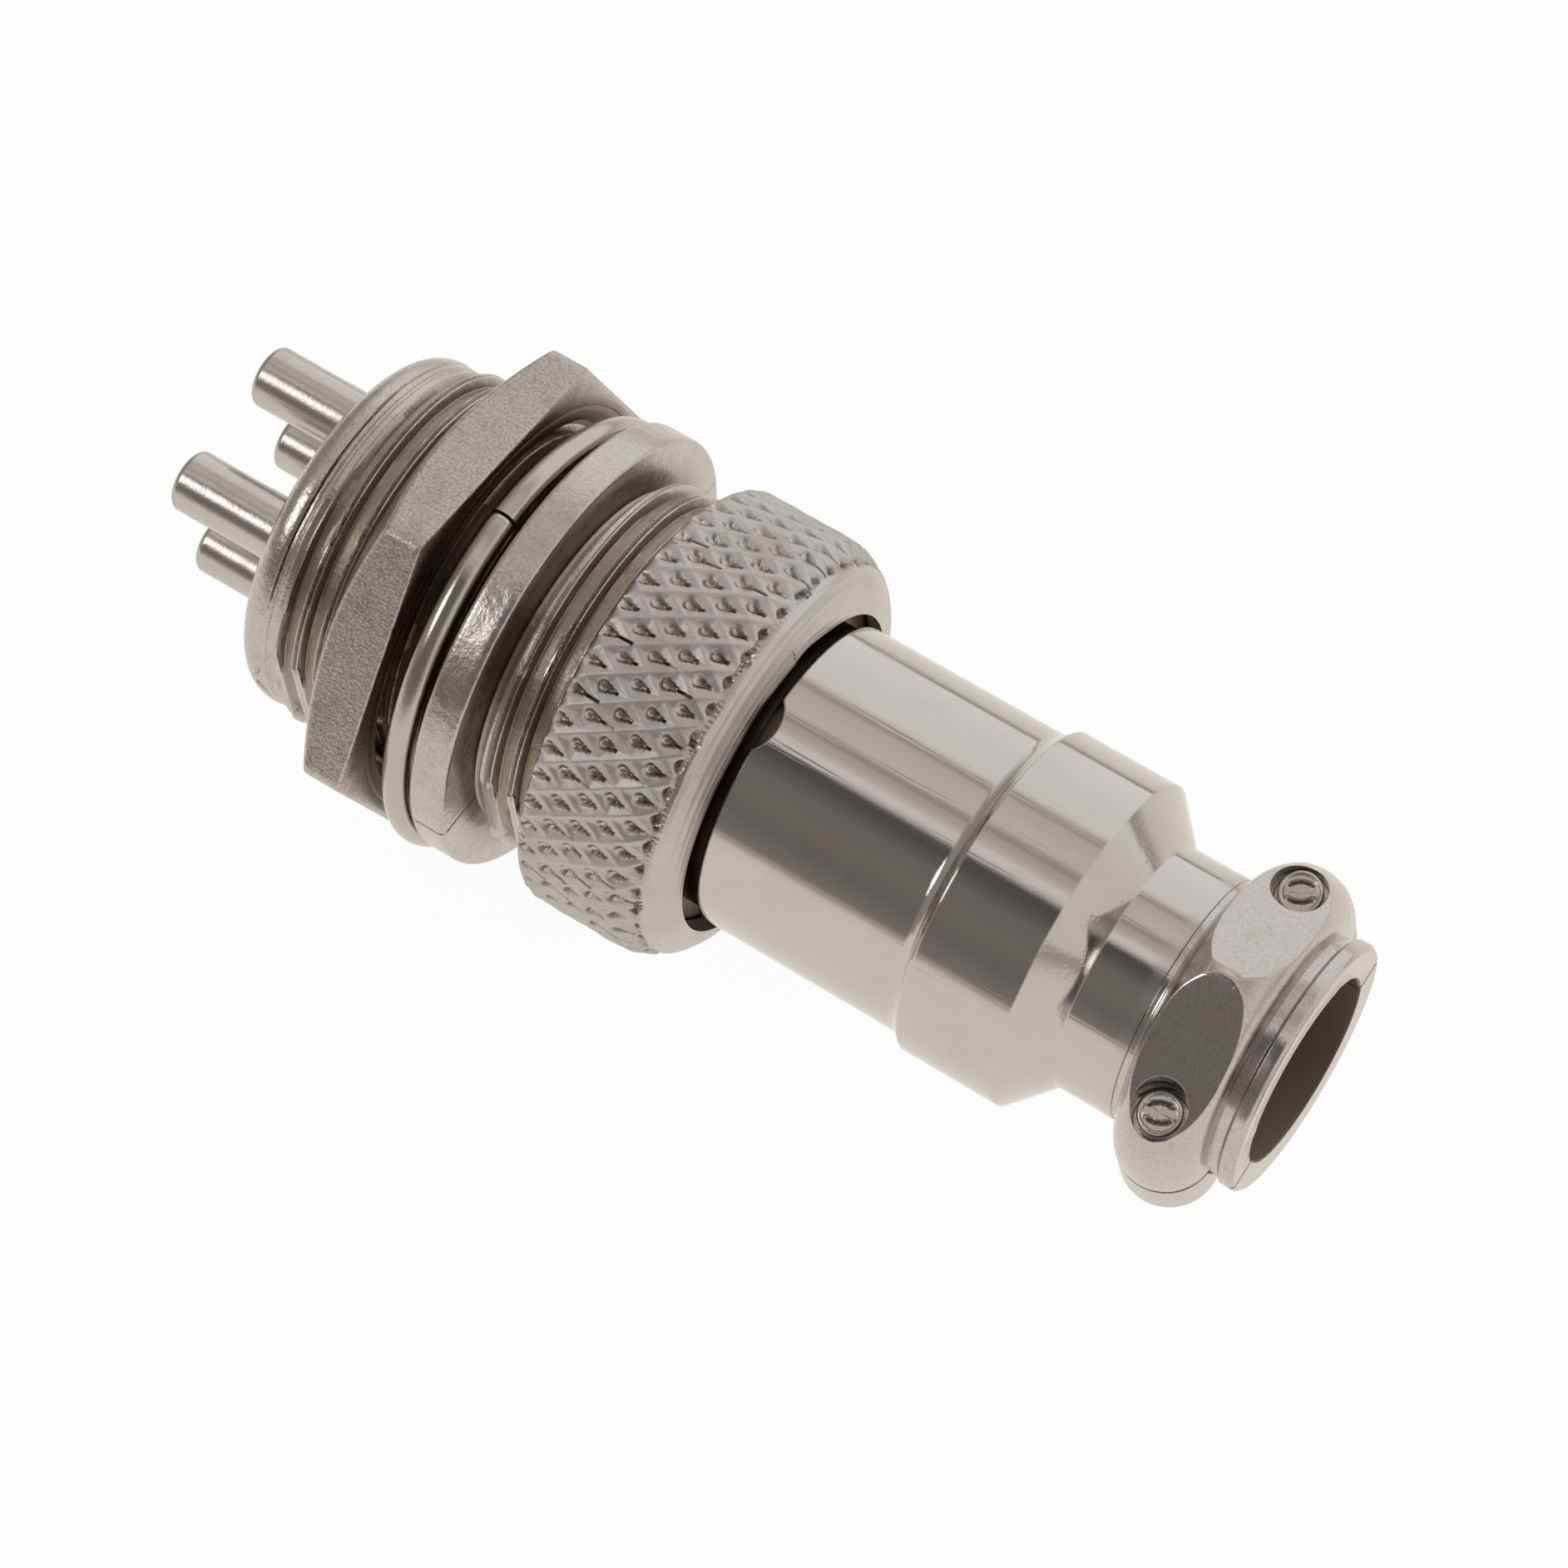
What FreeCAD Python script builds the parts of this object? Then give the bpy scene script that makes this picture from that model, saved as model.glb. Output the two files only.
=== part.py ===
import FreeCAD, Part
import math
import os
import re
import Sketcher
from FreeCAD import Placement, Rotation, Vector

# Circular metal connector, a threaded panel socket with its cable plug screwed on, in millimetres.
# X runs along the connector, from the solder cups of the socket to the cable end of the plug.
# The origin is on that axis, in the face of the flange that seats on the panel. +Z is up.

doc = FreeCAD.newDocument("connector")

# Driving dimensions
SIZES = {
    # thread that takes the panel nut on one side of the flange and the coupling ring on the other
    "thread_dia": 15.86,
    "thread_fit": 0.04,
    "thread_pitch": 1.0,
    "thread_depth": 0.5,
    "thread_crest": 0.14,
    "thread_root": 0.1,
    "rear_lead": 0.39,
    "rear_run_out": 0.6,
    "front_lead": 0.68,
    "flat_depth": 0.4,
    "thread_edge": 0.28,
    "parting_roll": 80.0,
    "relief_depth": 0.68,
    "relief_len": 0.6,
    # socket shell
    "flange_inset": 0.01,
    "flange_thick": 1.6,
    "rear_len": 9.7,
    "rim_step": 0.28,
    "rim_len": 1.95,
    "rim_round": 1.0,
    "crimp_lip": 0.5,
    "crimp_thick": 0.9,
    "front_len": 9.2,
    "front_edge": 0.4,
    "shell_wall": 1.23,
    "cavity_floor": 1.0,
    "floor_step": 0.4,
    "seat_fit": 0.04,
    "key_width": 1.7,
    "key_height": 0.68,
    "key_gap": 0.8,
    # contacts
    "contact_inset": 2.45,
    "contact_roll": 31.3,
    "contact_count": 4,
    "cup_dia": 2.63,
    "cup_wall": 0.415,
    "cup_depth": 5.0,
    "cup_window": 3.4,
    "cup_edge": 0.3,
    "cup_roll": 118.0,
    "pin_tail_len": 5.5,
    "pin_step": 2.8,
    "pin_dia": 2.0,
    "pin_reach": 6.6,
    "pin_nose": 0.5,
    "sleeve_wall": 0.42,
    "sleeve_fit": 0.03,
    "sleeve_inset": 0.3,
    "sleeve_over": 0.6,
    "slit_width": 0.3,
    "slit_len": 4.0,
    "tail_cup_len": 5.2,
    # hex nut and lock washer
    "nut_rim": 1.57,
    "nut_thick": 2.73,
    "nut_gap": 1.12,
    "nut_chamfer": 0.45,
    "nut_chamfer_angle": 30.0,
    "nut_mouth": 0.5,
    "washer_inset": 0.05,
    "washer_gap": 0.37,
    "washer_thick": 0.9,
    "washer_place": 0.28,
    "washer_edge": 0.2,
    "washer_slit": 0.44,
    "washer_roll": 11.0,
    "washer_sag": 0.3,
    "washer_sag_roll": -122.0,
    # plug barrel
    "barrel_fit": 0.08,
    "barrel_gap": 0.3,
    "barrel_wall": 0.72,
    "collar_step": 0.33,
    "collar_len": 0.65,
    "collar_place": 0.5,
    "seat_step": 0.35,
    "seat_len": 1.03,
    "neck_thread_step": 0.34,
    "neck_thread_len": 5.3,
    "neck_thread_wall": 0.56,
    "shoulder_place": 0.2,
    "slot_fit": 0.15,
    # coupling ring
    "ring_inset": 0.36,
    "ring_len": 6.49,
    "ring_lip": 0.74,
    "ring_edge": 0.5,
    "ring_mouth": 0.38,
    "ring_round": 2.4,
    "ring_relief": 0.18,
    "ring_relief_gap": 0.4,
    "ring_play": 0.1,
    "ring_gap": 0.45,
    # tail shell
    "tube_inset": 1.38,
    "tube_len": 8.82,
    "tube_edge": 0.15,
    "tail_thread_fit": 0.04,
    "tube_bore_step": 0.16,
    "thread_run_out": 0.2,
    "notch_dia": 3.1,
    "notch_depth": 0.62,
    "notch_roll": -21.5,
    "band_rise": 0.45,
    "band_ramp": 0.7,
    "band_len": 4.9,
    "shoulder_len": 1.65,
    "cable_bore": 7.8,
    "neck_wall": 1.32,
    "neck_len": 2.6,
    "bore_cone": 2.2,
    # two-screw cable clamp at the end of the tail
    "tail_roll": 19.0,
    "clamp_reach": 2.25,
    "bulge_rise": 1.73,
    "bulge_round": 1.95,
    "saddle_gap": 0.12,
    "split_low": 0.55,
    "split_high": 0.3,
    "end_reach": 3.1,
    "lip_rise": 0.06,
    "lip_len": 0.6,
    "lip_edge": 0.12,
    "groove_depth": 0.15,
    "facet_angle": 30.0,
    "facet_depth": 1.05,
    "lug_depth": 2.0,
    "screw_inset": 1.97,
    "screw_seat": 2.6,
    "screw_head_dia": 1.9,
    "screw_head_len": 1.05,
    "screw_sink_fit": 0.13,
    "screw_dia": 1.36,
    "screw_fit": 0.04,
    "screw_hole_fit": 0.1,
    "screw_reach": 2.35,
    "screw_slot_width": 0.32,
    "screw_slot_depth": 0.45,
}

# Sizes and places that follow from those above
FITTED = {
    "thread_flats": "thread_dia - 2*flat_depth",
    "relief_dia": "thread_dia - 2*relief_depth",
    "rim_dia": "thread_dia - 2*rim_step",
    "cavity_dia": "thread_dia - 2*shell_wall",
    "insert_dia": "cavity_dia - 2*floor_step",
    "crimp_dia": "insert_dia - 2*crimp_lip",
    "contact_circle": "insert_dia - 2*contact_inset",
    "cup_bore": "cup_dia - 2*cup_wall",
    "sleeve_dia": "pin_dia + 2*sleeve_fit + 2*sleeve_wall",
    "nut_flats": "thread_dia + 2*nut_rim",
    "flange_dia": "nut_flats - 2*flange_inset",
    "nut_place": "washer_place + washer_thick + nut_gap",
    "nut_chamfer_dia": "nut_flats - 2*nut_chamfer",
    "washer_dia": "nut_flats - 2*washer_inset",
    "washer_bore": "thread_dia + 2*washer_gap",
    "collar_dia": "thread_dia - 2*collar_step",
    "tube_dia": "thread_dia - 2*tube_inset",
    "seat_dia": "tube_dia - 2*seat_step",
    "neck_thread_dia": "seat_dia - 2*neck_thread_step",
    "barrel_bore": "neck_thread_dia - 2*neck_thread_wall",
    "collar_end": "front_len + collar_place + collar_len",
    "seat_end": "collar_end + seat_len",
    "ring_dia": "nut_flats - 2*ring_inset",
    "ring_hole": "tube_dia + 2*ring_gap",
    "ring_relief_dia": "thread_dia + 2*thread_fit + 2*ring_relief",
    "ring_drop": "ring_dia/2 - ring_hole/2 - ring_round",
    "ring_end": "collar_end + ring_play + ring_lip",
    "ring_land_end": "ring_end - sqrt(ring_round^2 - ring_drop^2)",
    "ring_start": "ring_end - ring_len",
    "tube_bore": "neck_thread_dia - 2*tube_bore_step",
    "band_dia": "tube_dia + 2*band_rise",
    "band_start": "seat_end + tube_len",
    "band_end": "band_start + band_len",
    "neck_start": "band_end + shoulder_len",
    "neck_dia": "cable_bore + 2*neck_wall",
    "clamp_start": "neck_start + neck_len",
    "clamp_place": "clamp_start + clamp_reach",
    "end_place": "clamp_place + end_reach",
    "bulge_dia": "neck_dia + 2*bulge_rise",
    "lip_dia": "neck_dia + 2*lip_rise",
    "groove_dia": "neck_dia - 2*groove_depth",
    "facet_place": "bulge_dia/2 - facet_depth",
    "screw_spacing": "bulge_dia - 2*screw_inset",
    "screw_sink_dia": "screw_head_dia + 2*screw_sink_fit",
    "screw_hole_dia": "screw_dia + 2*screw_hole_fit",
}

sheet = doc.addObject("Spreadsheet::Sheet", "sizes")
for row, (alias, number) in enumerate(SIZES.items(), start=1):
    sheet.set("A%d" % row, alias)
    sheet.set("B%d" % row, str(number))
    sheet.setAlias("B%d" % row, alias)
for row, (alias, formula) in enumerate(FITTED.items(), start=len(SIZES) + 1):
    sheet.set("A%d" % row, alias)
    sheet.set("B%d" % row, "=" + formula)
    sheet.setAlias("B%d" % row, alias)
doc.recompute()

# Places along the axis that several pieces share
REAR_END = "-rear_len"
CUP_END = "(-rear_len - pin_tail_len)"
THREAD_START = "(rim_len - rear_len)"
INSERT_REAR = "(crimp_thick - rear_len)"
PIN_STEP = "(crimp_thick - rear_len + pin_step)"
BARREL_FRONT = "(cavity_floor + barrel_gap)"
SHOULDER = "(front_len - shoulder_place)"
COLLAR_START = "(front_len + collar_place)"
SLEEVE_FRONT = "(cavity_floor + barrel_gap + sleeve_inset)"
SLEEVE_END = "(front_len - shoulder_place + sleeve_over)"
LIP_START = "(end_place - lip_len)"
BULGE_HALF = "sqrt(bulge_round^2 - (neck_dia/2 - bulge_dia/2 + bulge_round)^2)"

nodes = []


def bind(text):
    """An expression on the sizes, as any object of the document can read it."""
    return re.sub(r"[a-z]+(?:_[a-z]+)+", lambda word: "sizes." + word.group(0), text)


def value(text):
    """The number that an expression on the sizes gives now."""
    return float(doc.sizes.evalExpression(text))


def origin_item(body, role):
    """A plane or an axis of a body's own origin."""
    return [item for item in body.Origin.OriginFeatures if item.Role == role][0]


def place(thing, x="0", y="0", z="0", axis=(1, 0, 0), angle="0"):
    """Bind where a body or a feature stands, and its turn about an axis, to the sizes."""
    vector = "create(<<vector>>; %s; %s; %s)"
    turn = "create(<<rotation>>; %s; %s)" % (vector % axis, bind(angle))
    spot = vector % (bind(x), bind(y), bind(z))
    thing.setExpression("Placement", "create(<<placement>>; %s; %s)" % (spot, turn))


def new_body(label, **where):
    """A sub-part: its label is its node's name, and it is placed by the sizes."""
    body = doc.addObject("PartDesign::Body", label)
    body.Label = label
    place(body, **where)
    nodes.append(body)
    return body


def arc_between(start, end, radius, turn):
    """The short arc from start to end; turn is 1 for counterclockwise and -1 for clockwise."""
    run = end - start
    middle = (start + end) / 2
    rise = math.sqrt(max(radius ** 2 - run.Length ** 2 / 4, 0))
    centre = middle + Vector(-run.y, run.x, 0).normalize() * rise * turn
    angles = [math.atan2(point.y - centre.y, point.x - centre.x) for point in (start, end)]
    if turn < 0:
        angles.reverse()
    return Part.ArcOfCircle(Part.Circle(centre, Vector(0, 0, 1), radius), *angles)


def draw(body, name, outline, plane="XY_Plane"):
    """A closed sketch. Each corner is (x, y), or (x, y, radius, turn) where an arc leaves it."""
    sketch = body.newObject("Sketcher::SketchObject", name)
    sketch.AttachmentSupport = (origin_item(body, plane), [""])
    sketch.MapMode = "FlatFace"
    corners = [Vector(value(corner[0]), value(corner[1]), 0) for corner in outline]
    starts = []
    ends = []
    for index, corner in enumerate(outline):
        here = corners[index]
        there = corners[(index + 1) % len(corners)]
        if len(corner) == 2:
            sketch.addGeometry(Part.LineSegment(here, there), False)
            starts.append(1)
            ends.append(2)
        else:
            sketch.addGeometry(arc_between(here, there, value(corner[2]), corner[3]), False)
            starts.append(1 if corner[3] > 0 else 2)
            ends.append(2 if corner[3] > 0 else 1)
    for index, corner in enumerate(outline):
        following = (index + 1) % len(outline)
        sketch.addConstraint(
            Sketcher.Constraint("Coincident", index, ends[index], following, starts[following]))
        for letter, text, number in zip("XY", corner[:2], corners[index][:2]):
            if text == "0":
                line = -1 if letter == "Y" else -2
                sketch.addConstraint(Sketcher.Constraint("PointOnObject", index, starts[index], line))
                continue
            added = sketch.addConstraint(
                Sketcher.Constraint("Distance" + letter, -1, 1, index, starts[index], number))
            sketch.renameConstraint(added, "corner%d_%s" % (index, letter.lower()))
            sketch.setExpression("Constraints.corner%d_%s" % (index, letter.lower()), bind(text))
        if len(corner) > 2:
            added = sketch.addConstraint(Sketcher.Constraint("Radius", index, value(corner[2])))
            sketch.renameConstraint(added, "arc%d" % index)
            sketch.setExpression("Constraints.arc%d" % index, bind(corner[2]))
    return sketch


def turn_solid(body, outline, kind="Revolution", angle="360"):
    """Turn an outline about the body's X axis, as new material or, for a Groove, as a cut."""
    sketch = draw(body, kind.lower() + "_outline", outline)
    feature = body.newObject("PartDesign::" + kind, kind.lower())
    feature.Profile = sketch
    feature.ReferenceAxis = (sketch, ["H_Axis"])
    feature.setExpression("Angle", bind(angle))
    sketch.Visibility = False
    return feature


def cut_thread(body, name, start, room):
    """V grooves round the crest, one for each turn of a thread, from a place on the axis onwards."""
    sketch = draw(body, name + "_outline", [
        ("%s - (thread_pitch - thread_crest)/2" % start, "thread_dia/2"),
        ("%s - thread_root/2" % start, "thread_dia/2 - thread_depth"),
        ("%s + thread_root/2" % start, "thread_dia/2 - thread_depth"),
        ("%s + (thread_pitch - thread_crest)/2" % start, "thread_dia/2"),
    ])
    groove = body.newObject("PartDesign::Groove", name)
    groove.Profile = sketch
    groove.ReferenceAxis = (sketch, ["H_Axis"])
    sketch.Visibility = False
    turns = "floor((%s)/thread_pitch)" % room
    pattern = body.newObject("PartDesign::LinearPattern", name + "_turns")
    pattern.Originals = [groove]
    pattern.Direction = (origin_item(body, "X_Axis"), [""])
    pattern.setExpression("Length", bind("thread_pitch*" + turns))
    pattern.setExpression("Occurrences", bind(turns + " + 1"))
    body.Tip = pattern
    return pattern


def block(body, name, kind, length, width, height, **where):
    """A box that is added or cut; where gives the place of its low corner and its turn."""
    feature = body.newObject("PartDesign::%sBox" % kind, name)
    feature.setExpression("Length", bind(length))
    feature.setExpression("Width", bind(width))
    feature.setExpression("Height", bind(height))
    place(feature, **where)
    return feature


def radial_block(body, name, kind, start, length, low, height, width, roll):
    """A box on a line out from the X axis; roll is that line's turn from +Z towards +Y."""
    block(body, name, kind, length, width, height, x=start,
          y="%s*sin(%s) - %s/2*cos(%s)" % (low, roll, width, roll),
          z="%s*cos(%s) + %s/2*sin(%s)" % (low, roll, width, roll), angle="-(%s)" % roll)


def rod(body, name, kind, radius, length, **where):
    """A cylinder that is added or cut; it rises along Z from its place before its turn."""
    feature = body.newObject("PartDesign::%sCylinder" % kind, name)
    feature.setExpression("Radius", bind(radius))
    feature.setExpression("Height", bind(length))
    place(feature, **where)
    return feature


def rod_along_axis(body, name, kind, radius, start, end, **where):
    """A cylinder along X, between two places on it."""
    length = "(%s) - (%s)" % (end, start)
    return rod(body, name, kind, radius, length, x=start, axis=(0, 1, 0), angle="90", **where)


def repeat_round(body, feature, count):
    """Repeat a feature evenly about the body's X axis."""
    pattern = body.newObject("PartDesign::PolarPattern", feature.Name + "_pattern")
    pattern.Originals = [feature]
    pattern.Axis = (origin_item(body, "X_Axis"), [""])
    pattern.Angle = 360
    pattern.setExpression("Occurrences", bind(count))
    body.Tip = pattern
    return pattern


# Socket

def build_socket_shell():
    """One casting: rear thread with its rolled rim, flange, and front thread round the cavity."""
    body = new_body("socket_shell")
    rear_corner = "(rim_dia/2 - rim_round)"
    turn_solid(body, [
        (REAR_END, "crimp_dia/2"),
        (REAR_END, rear_corner, "rim_round", -1),
        ("rim_round - rear_len", "rim_dia/2"),
        (THREAD_START, "rim_dia/2"),
        ("rim_len - rear_len + thread_edge", "thread_dia/2"),
        ("0", "thread_dia/2"),
        ("0", "flange_dia/2"),
        ("flange_thick", "flange_dia/2"),
        ("flange_thick", "relief_dia/2"),
        ("flange_thick + relief_len", "relief_dia/2"),
        ("flange_thick + relief_len", "thread_dia/2"),
        ("front_len - front_edge", "thread_dia/2"),
        ("front_len", "thread_dia/2 - front_edge"),
        ("front_len", "cavity_dia/2"),
        ("cavity_floor", "cavity_dia/2"),
        ("cavity_floor", "insert_dia/2"),
        (INSERT_REAR, "insert_dia/2"),
        (INSERT_REAR, "crimp_dia/2"),
    ])
    cut_thread(body, "rear_thread", "(rim_len - rear_len + rear_lead)",
               "rear_len - rim_len - rear_lead - rear_run_out")
    cut_thread(body, "front_thread", "(flange_thick + relief_len + front_lead)",
               "front_len - flange_thick - relief_len - front_lead")
    # The die parted here, so both threads are interrupted by a flat on each side
    for side, roll in (("near", "parting_roll - 180"), ("far", "parting_roll")):
        for end, start, length in (("rear", THREAD_START, "rear_len - rim_len"),
                                   ("front", "flange_thick", "front_len")):
            radial_block(body, "%s_flat_%s" % (end, side), "Subtractive", start, length,
                         "thread_flats/2", "thread_dia", "thread_dia", roll)
    # Key that lets the plug in at one angle only
    radial_block(body, "key", "Additive", "cavity_floor", "front_len - key_gap - cavity_floor",
                 "(cavity_dia/2 - key_height)", "((thread_flats - cavity_dia)/4 + key_height)",
                 "key_width", "contact_roll + 45")
    return body


def build_socket_insert():
    """Insulating disc that holds the pins, between the cavity floor and the crimped rim."""
    body = new_body("socket_insert", angle="-contact_roll")
    turn_solid(body, [
        (INSERT_REAR, "0"),
        (INSERT_REAR, "insert_dia/2 - seat_fit"),
        ("cavity_floor", "insert_dia/2 - seat_fit"),
        ("cavity_floor", "0"),
    ])
    cup_hole = rod_along_axis(body, "cup_hole", "Subtractive", "cup_dia/2 + seat_fit", INSERT_REAR,
                              PIN_STEP, z="contact_circle/2")
    repeat_round(body, cup_hole, "contact_count")
    pin_hole = rod_along_axis(body, "pin_hole", "Subtractive", "pin_dia/2 + seat_fit", INSERT_REAR,
                              "cavity_floor", z="contact_circle/2")
    repeat_round(body, pin_hole, "contact_count")
    return body


def contact_place(index):
    """Where the contact of that number stands on the contact circle."""
    at = "(%d*360/contact_count + contact_roll)" % index
    return {"y": "contact_circle/2*sin%s" % at, "z": "contact_circle/2*cos%s" % at}


def cut_cup(body, mouth, away):
    """Bore the solder cup from its mouth and open a window in its side; away is 1 or -1 along X."""
    depth = "%d*cup_depth" % away
    ends = sorted((mouth, "%s + %s" % (mouth, depth)), key=value)
    rod_along_axis(body, "cup_bore", "Subtractive", "cup_bore/2", *ends)
    window = mouth if away > 0 else "%s - cup_window" % mouth
    block(body, "cup_window", "Subtractive", "cup_window", "cup_dia", "cup_dia",
          x=window, y="-cup_dia/2", z="cup_bore/4")


def build_socket_pin(index):
    """Turned pin: solder cup behind, stepped down through the insert, round nose in the cavity."""
    body = new_body("socket_pin_%d" % (index + 1), **contact_place(index), angle="-cup_roll")
    turn_solid(body, [
        (CUP_END, "0"),
        (CUP_END, "cup_dia/2 - cup_edge", "cup_edge", -1),
        (CUP_END + " + cup_edge", "cup_dia/2"),
        (PIN_STEP, "cup_dia/2"),
        (PIN_STEP, "pin_dia/2"),
        ("cavity_floor + pin_reach - pin_nose", "pin_dia/2", "pin_nose", -1),
        ("cavity_floor + pin_reach", "pin_dia/2 - pin_nose"),
        ("cavity_floor + pin_reach", "0"),
    ])
    cut_cup(body, CUP_END, 1)
    return body


# Panel nut and lock washer

def build_hex_nut():
    """Thin hex nut, chamfered on the side away from the panel."""
    body = new_body("hex_nut")
    corner = "nut_flats/2/cos(30)"
    hexagon = []
    for index in range(6):
        at = "(%d)" % (30 + 60 * index)
        hexagon.append(("%s*sin%s" % (corner, at), "%s*cos%s" % (corner, at)))
    sketch = draw(body, "hexagon", hexagon, plane="YZ_Plane")
    pad = body.newObject("PartDesign::Pad", "pad")
    pad.Profile = sketch
    pad.setExpression("Length", bind("nut_thick + nut_place"))
    pad.Reversed = True
    sketch.Visibility = False
    block(body, "front_cut", "Subtractive", "nut_place", "2*nut_flats", "2*nut_flats",
          x="-nut_place", y="-nut_flats", z="-nut_flats")
    rod_along_axis(body, "thread_bore", "Subtractive", "thread_dia/2 + thread_fit",
                   "-nut_place - nut_thick - nut_mouth", "nut_mouth - nut_place")
    rear = "(-nut_place - nut_thick)"
    turn_solid(body, [
        (rear, "nut_chamfer_dia/2"),
        (rear, "nut_flats"),
        (rear + " + (nut_flats - nut_chamfer_dia/2)*tan(nut_chamfer_angle)", "nut_flats"),
    ], kind="Groove")
    mouth = body.newObject("PartDesign::SubtractiveCone", "mouth")
    mouth.setExpression("Radius1", bind("thread_dia/2 + thread_fit"))
    mouth.setExpression("Radius2", bind("thread_dia/2 + thread_fit + 2*nut_mouth"))
    mouth.setExpression("Height", bind("nut_mouth"))
    place(mouth, x="-nut_place - nut_mouth", axis=(0, 1, 0), angle="90")
    return body


def build_lock_washer():
    """Split spring washer of flat wire with broken edges, hanging to one side on the thread."""
    body = new_body("lock_washer", y="washer_sag*sin(washer_sag_roll)",
                    z="washer_sag*cos(washer_sag_roll)", angle="washer_roll")
    front = "(-washer_place)"
    rear = "(-washer_place - washer_thick)"
    low = "washer_bore/2"
    high = "washer_dia/2"
    turn_solid(body, [
        (rear, low + " + washer_edge"),
        (rear, high + " - washer_edge"),
        (rear + " + washer_edge", high),
        (front + " - washer_edge", high),
        (front, high + " - washer_edge"),
        (front, low + " + washer_edge"),
        (front + " - washer_edge", low),
        (rear + " + washer_edge", low),
    ])
    block(body, "slit", "Subtractive", "3*washer_thick", "washer_slit", "washer_dia",
          x=rear + " - washer_thick", y="-washer_slit/2", z="0")
    return body


# Plug

def build_plug_barrel():
    """Thin front sleeve with its keyway, collar that keeps the ring, and neck with the tail's thread."""
    body = new_body("plug_barrel")
    outer = "(cavity_dia/2 - barrel_fit)"
    inner = "(cavity_dia/2 - barrel_fit - barrel_wall)"
    turn_solid(body, [
        (BARREL_FRONT, inner),
        (BARREL_FRONT, outer),
        (COLLAR_START, outer),
        (COLLAR_START, "collar_dia/2"),
        ("collar_end", "collar_dia/2"),
        ("collar_end", "seat_dia/2"),
        ("seat_end", "seat_dia/2"),
        ("seat_end", "neck_thread_dia/2"),
        ("seat_end + neck_thread_len", "neck_thread_dia/2"),
        ("seat_end + neck_thread_len", "barrel_bore/2"),
        (SHOULDER, "barrel_bore/2"),
        (SHOULDER, inner),
    ])
    radial_block(body, "keyway", "Subtractive", "cavity_floor",
                 "front_len - key_gap + slot_fit - cavity_floor",
                 "(cavity_dia/2 - key_height - slot_fit)", "(2*key_height)",
                 "(key_width + 2*slot_fit)", "contact_roll + 45")
    return body


def build_plug_insert():
    """Insulating block with a hole for each sleeve contact."""
    body = new_body("plug_insert", angle="-contact_roll")
    inner = "(cavity_dia/2 - barrel_fit - barrel_wall - seat_fit)"
    turn_solid(body, [
        (BARREL_FRONT, "0"),
        (BARREL_FRONT, inner),
        (SHOULDER, inner),
        (SHOULDER, "0"),
    ])
    hole = rod_along_axis(body, "sleeve_hole", "Subtractive", "sleeve_dia/2 + seat_fit", BARREL_FRONT,
                          SHOULDER, z="contact_circle/2")
    repeat_round(body, hole, "contact_count")
    return body


def build_plug_contact(index):
    """Sleeve contact, slit at its mouth to spring on the pin, with a solder cup behind."""
    body = new_body("plug_contact_%d" % (index + 1), **contact_place(index), angle="-cup_roll")
    end = SLEEVE_END + " + tail_cup_len"
    turn_solid(body, [
        (SLEEVE_FRONT, "0"),
        (SLEEVE_FRONT, "sleeve_dia/2"),
        (SLEEVE_END, "sleeve_dia/2"),
        (SLEEVE_END, "cup_dia/2"),
        (end + " - cup_edge", "cup_dia/2", "cup_edge", -1),
        (end, "cup_dia/2 - cup_edge"),
        (end, "0"),
    ])
    rod_along_axis(body, "socket_bore", "Subtractive", "pin_dia/2 + sleeve_fit", SLEEVE_FRONT,
                   "cavity_floor + pin_reach + pin_nose")
    block(body, "slit", "Subtractive", "slit_len", "sleeve_dia", "slit_width",
          x=SLEEVE_FRONT, y="-sleeve_dia/2", z="-slit_width/2")
    cut_cup(body, end, -1)
    return body


def build_coupling_ring():
    """Ring that draws the plug home; a rounded shoulder on the cable side closes on the tube."""
    body = new_body("coupling_ring")
    thread = "(thread_dia/2 + thread_fit)"
    high = "(ring_dia/2)"
    lip = "(collar_end + ring_play)"
    relief = "(front_len + ring_relief_gap)"
    turn_solid(body, [
        ("ring_start", thread + " + ring_mouth"),
        ("ring_start", high + " - ring_edge", "ring_edge", -1),
        ("ring_start + ring_edge", high),
        ("ring_land_end", high, "ring_round", -1),
        ("ring_end", "ring_hole/2"),
        (lip, "ring_hole/2"),
        (lip, "ring_relief_dia/2"),
        (relief, "ring_relief_dia/2"),
        (relief, thread),
        ("ring_start + ring_mouth", thread),
    ])
    return body


# Tail shell and cable clamp

def clamp_outline(start, start_radius):
    """The end of the tail from a place on the neck: round bulge, groove, lip and cable bore."""
    groove = "(clamp_place + %s)" % BULGE_HALF
    return [
        (start, start_radius),
        ("clamp_place - " + BULGE_HALF, "neck_dia/2", "bulge_round", -1),
        ("clamp_place", "bulge_dia/2", "bulge_round", -1),
        (groove, "neck_dia/2"),
        ("(%s + %s)/2" % (groove, LIP_START), "groove_dia/2"),
        (LIP_START, "lip_dia/2 - lip_edge"),
        (LIP_START + " + lip_edge", "lip_dia/2"),
        ("end_place - lip_edge", "lip_dia/2"),
        ("end_place", "lip_dia/2 - lip_edge"),
        ("end_place", "cable_bore/2"),
    ]


def screw_sides():
    """The two screws' names and their places across the tail."""
    return (("left", "screw_spacing/2"), ("right", "-screw_spacing/2"))


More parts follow.
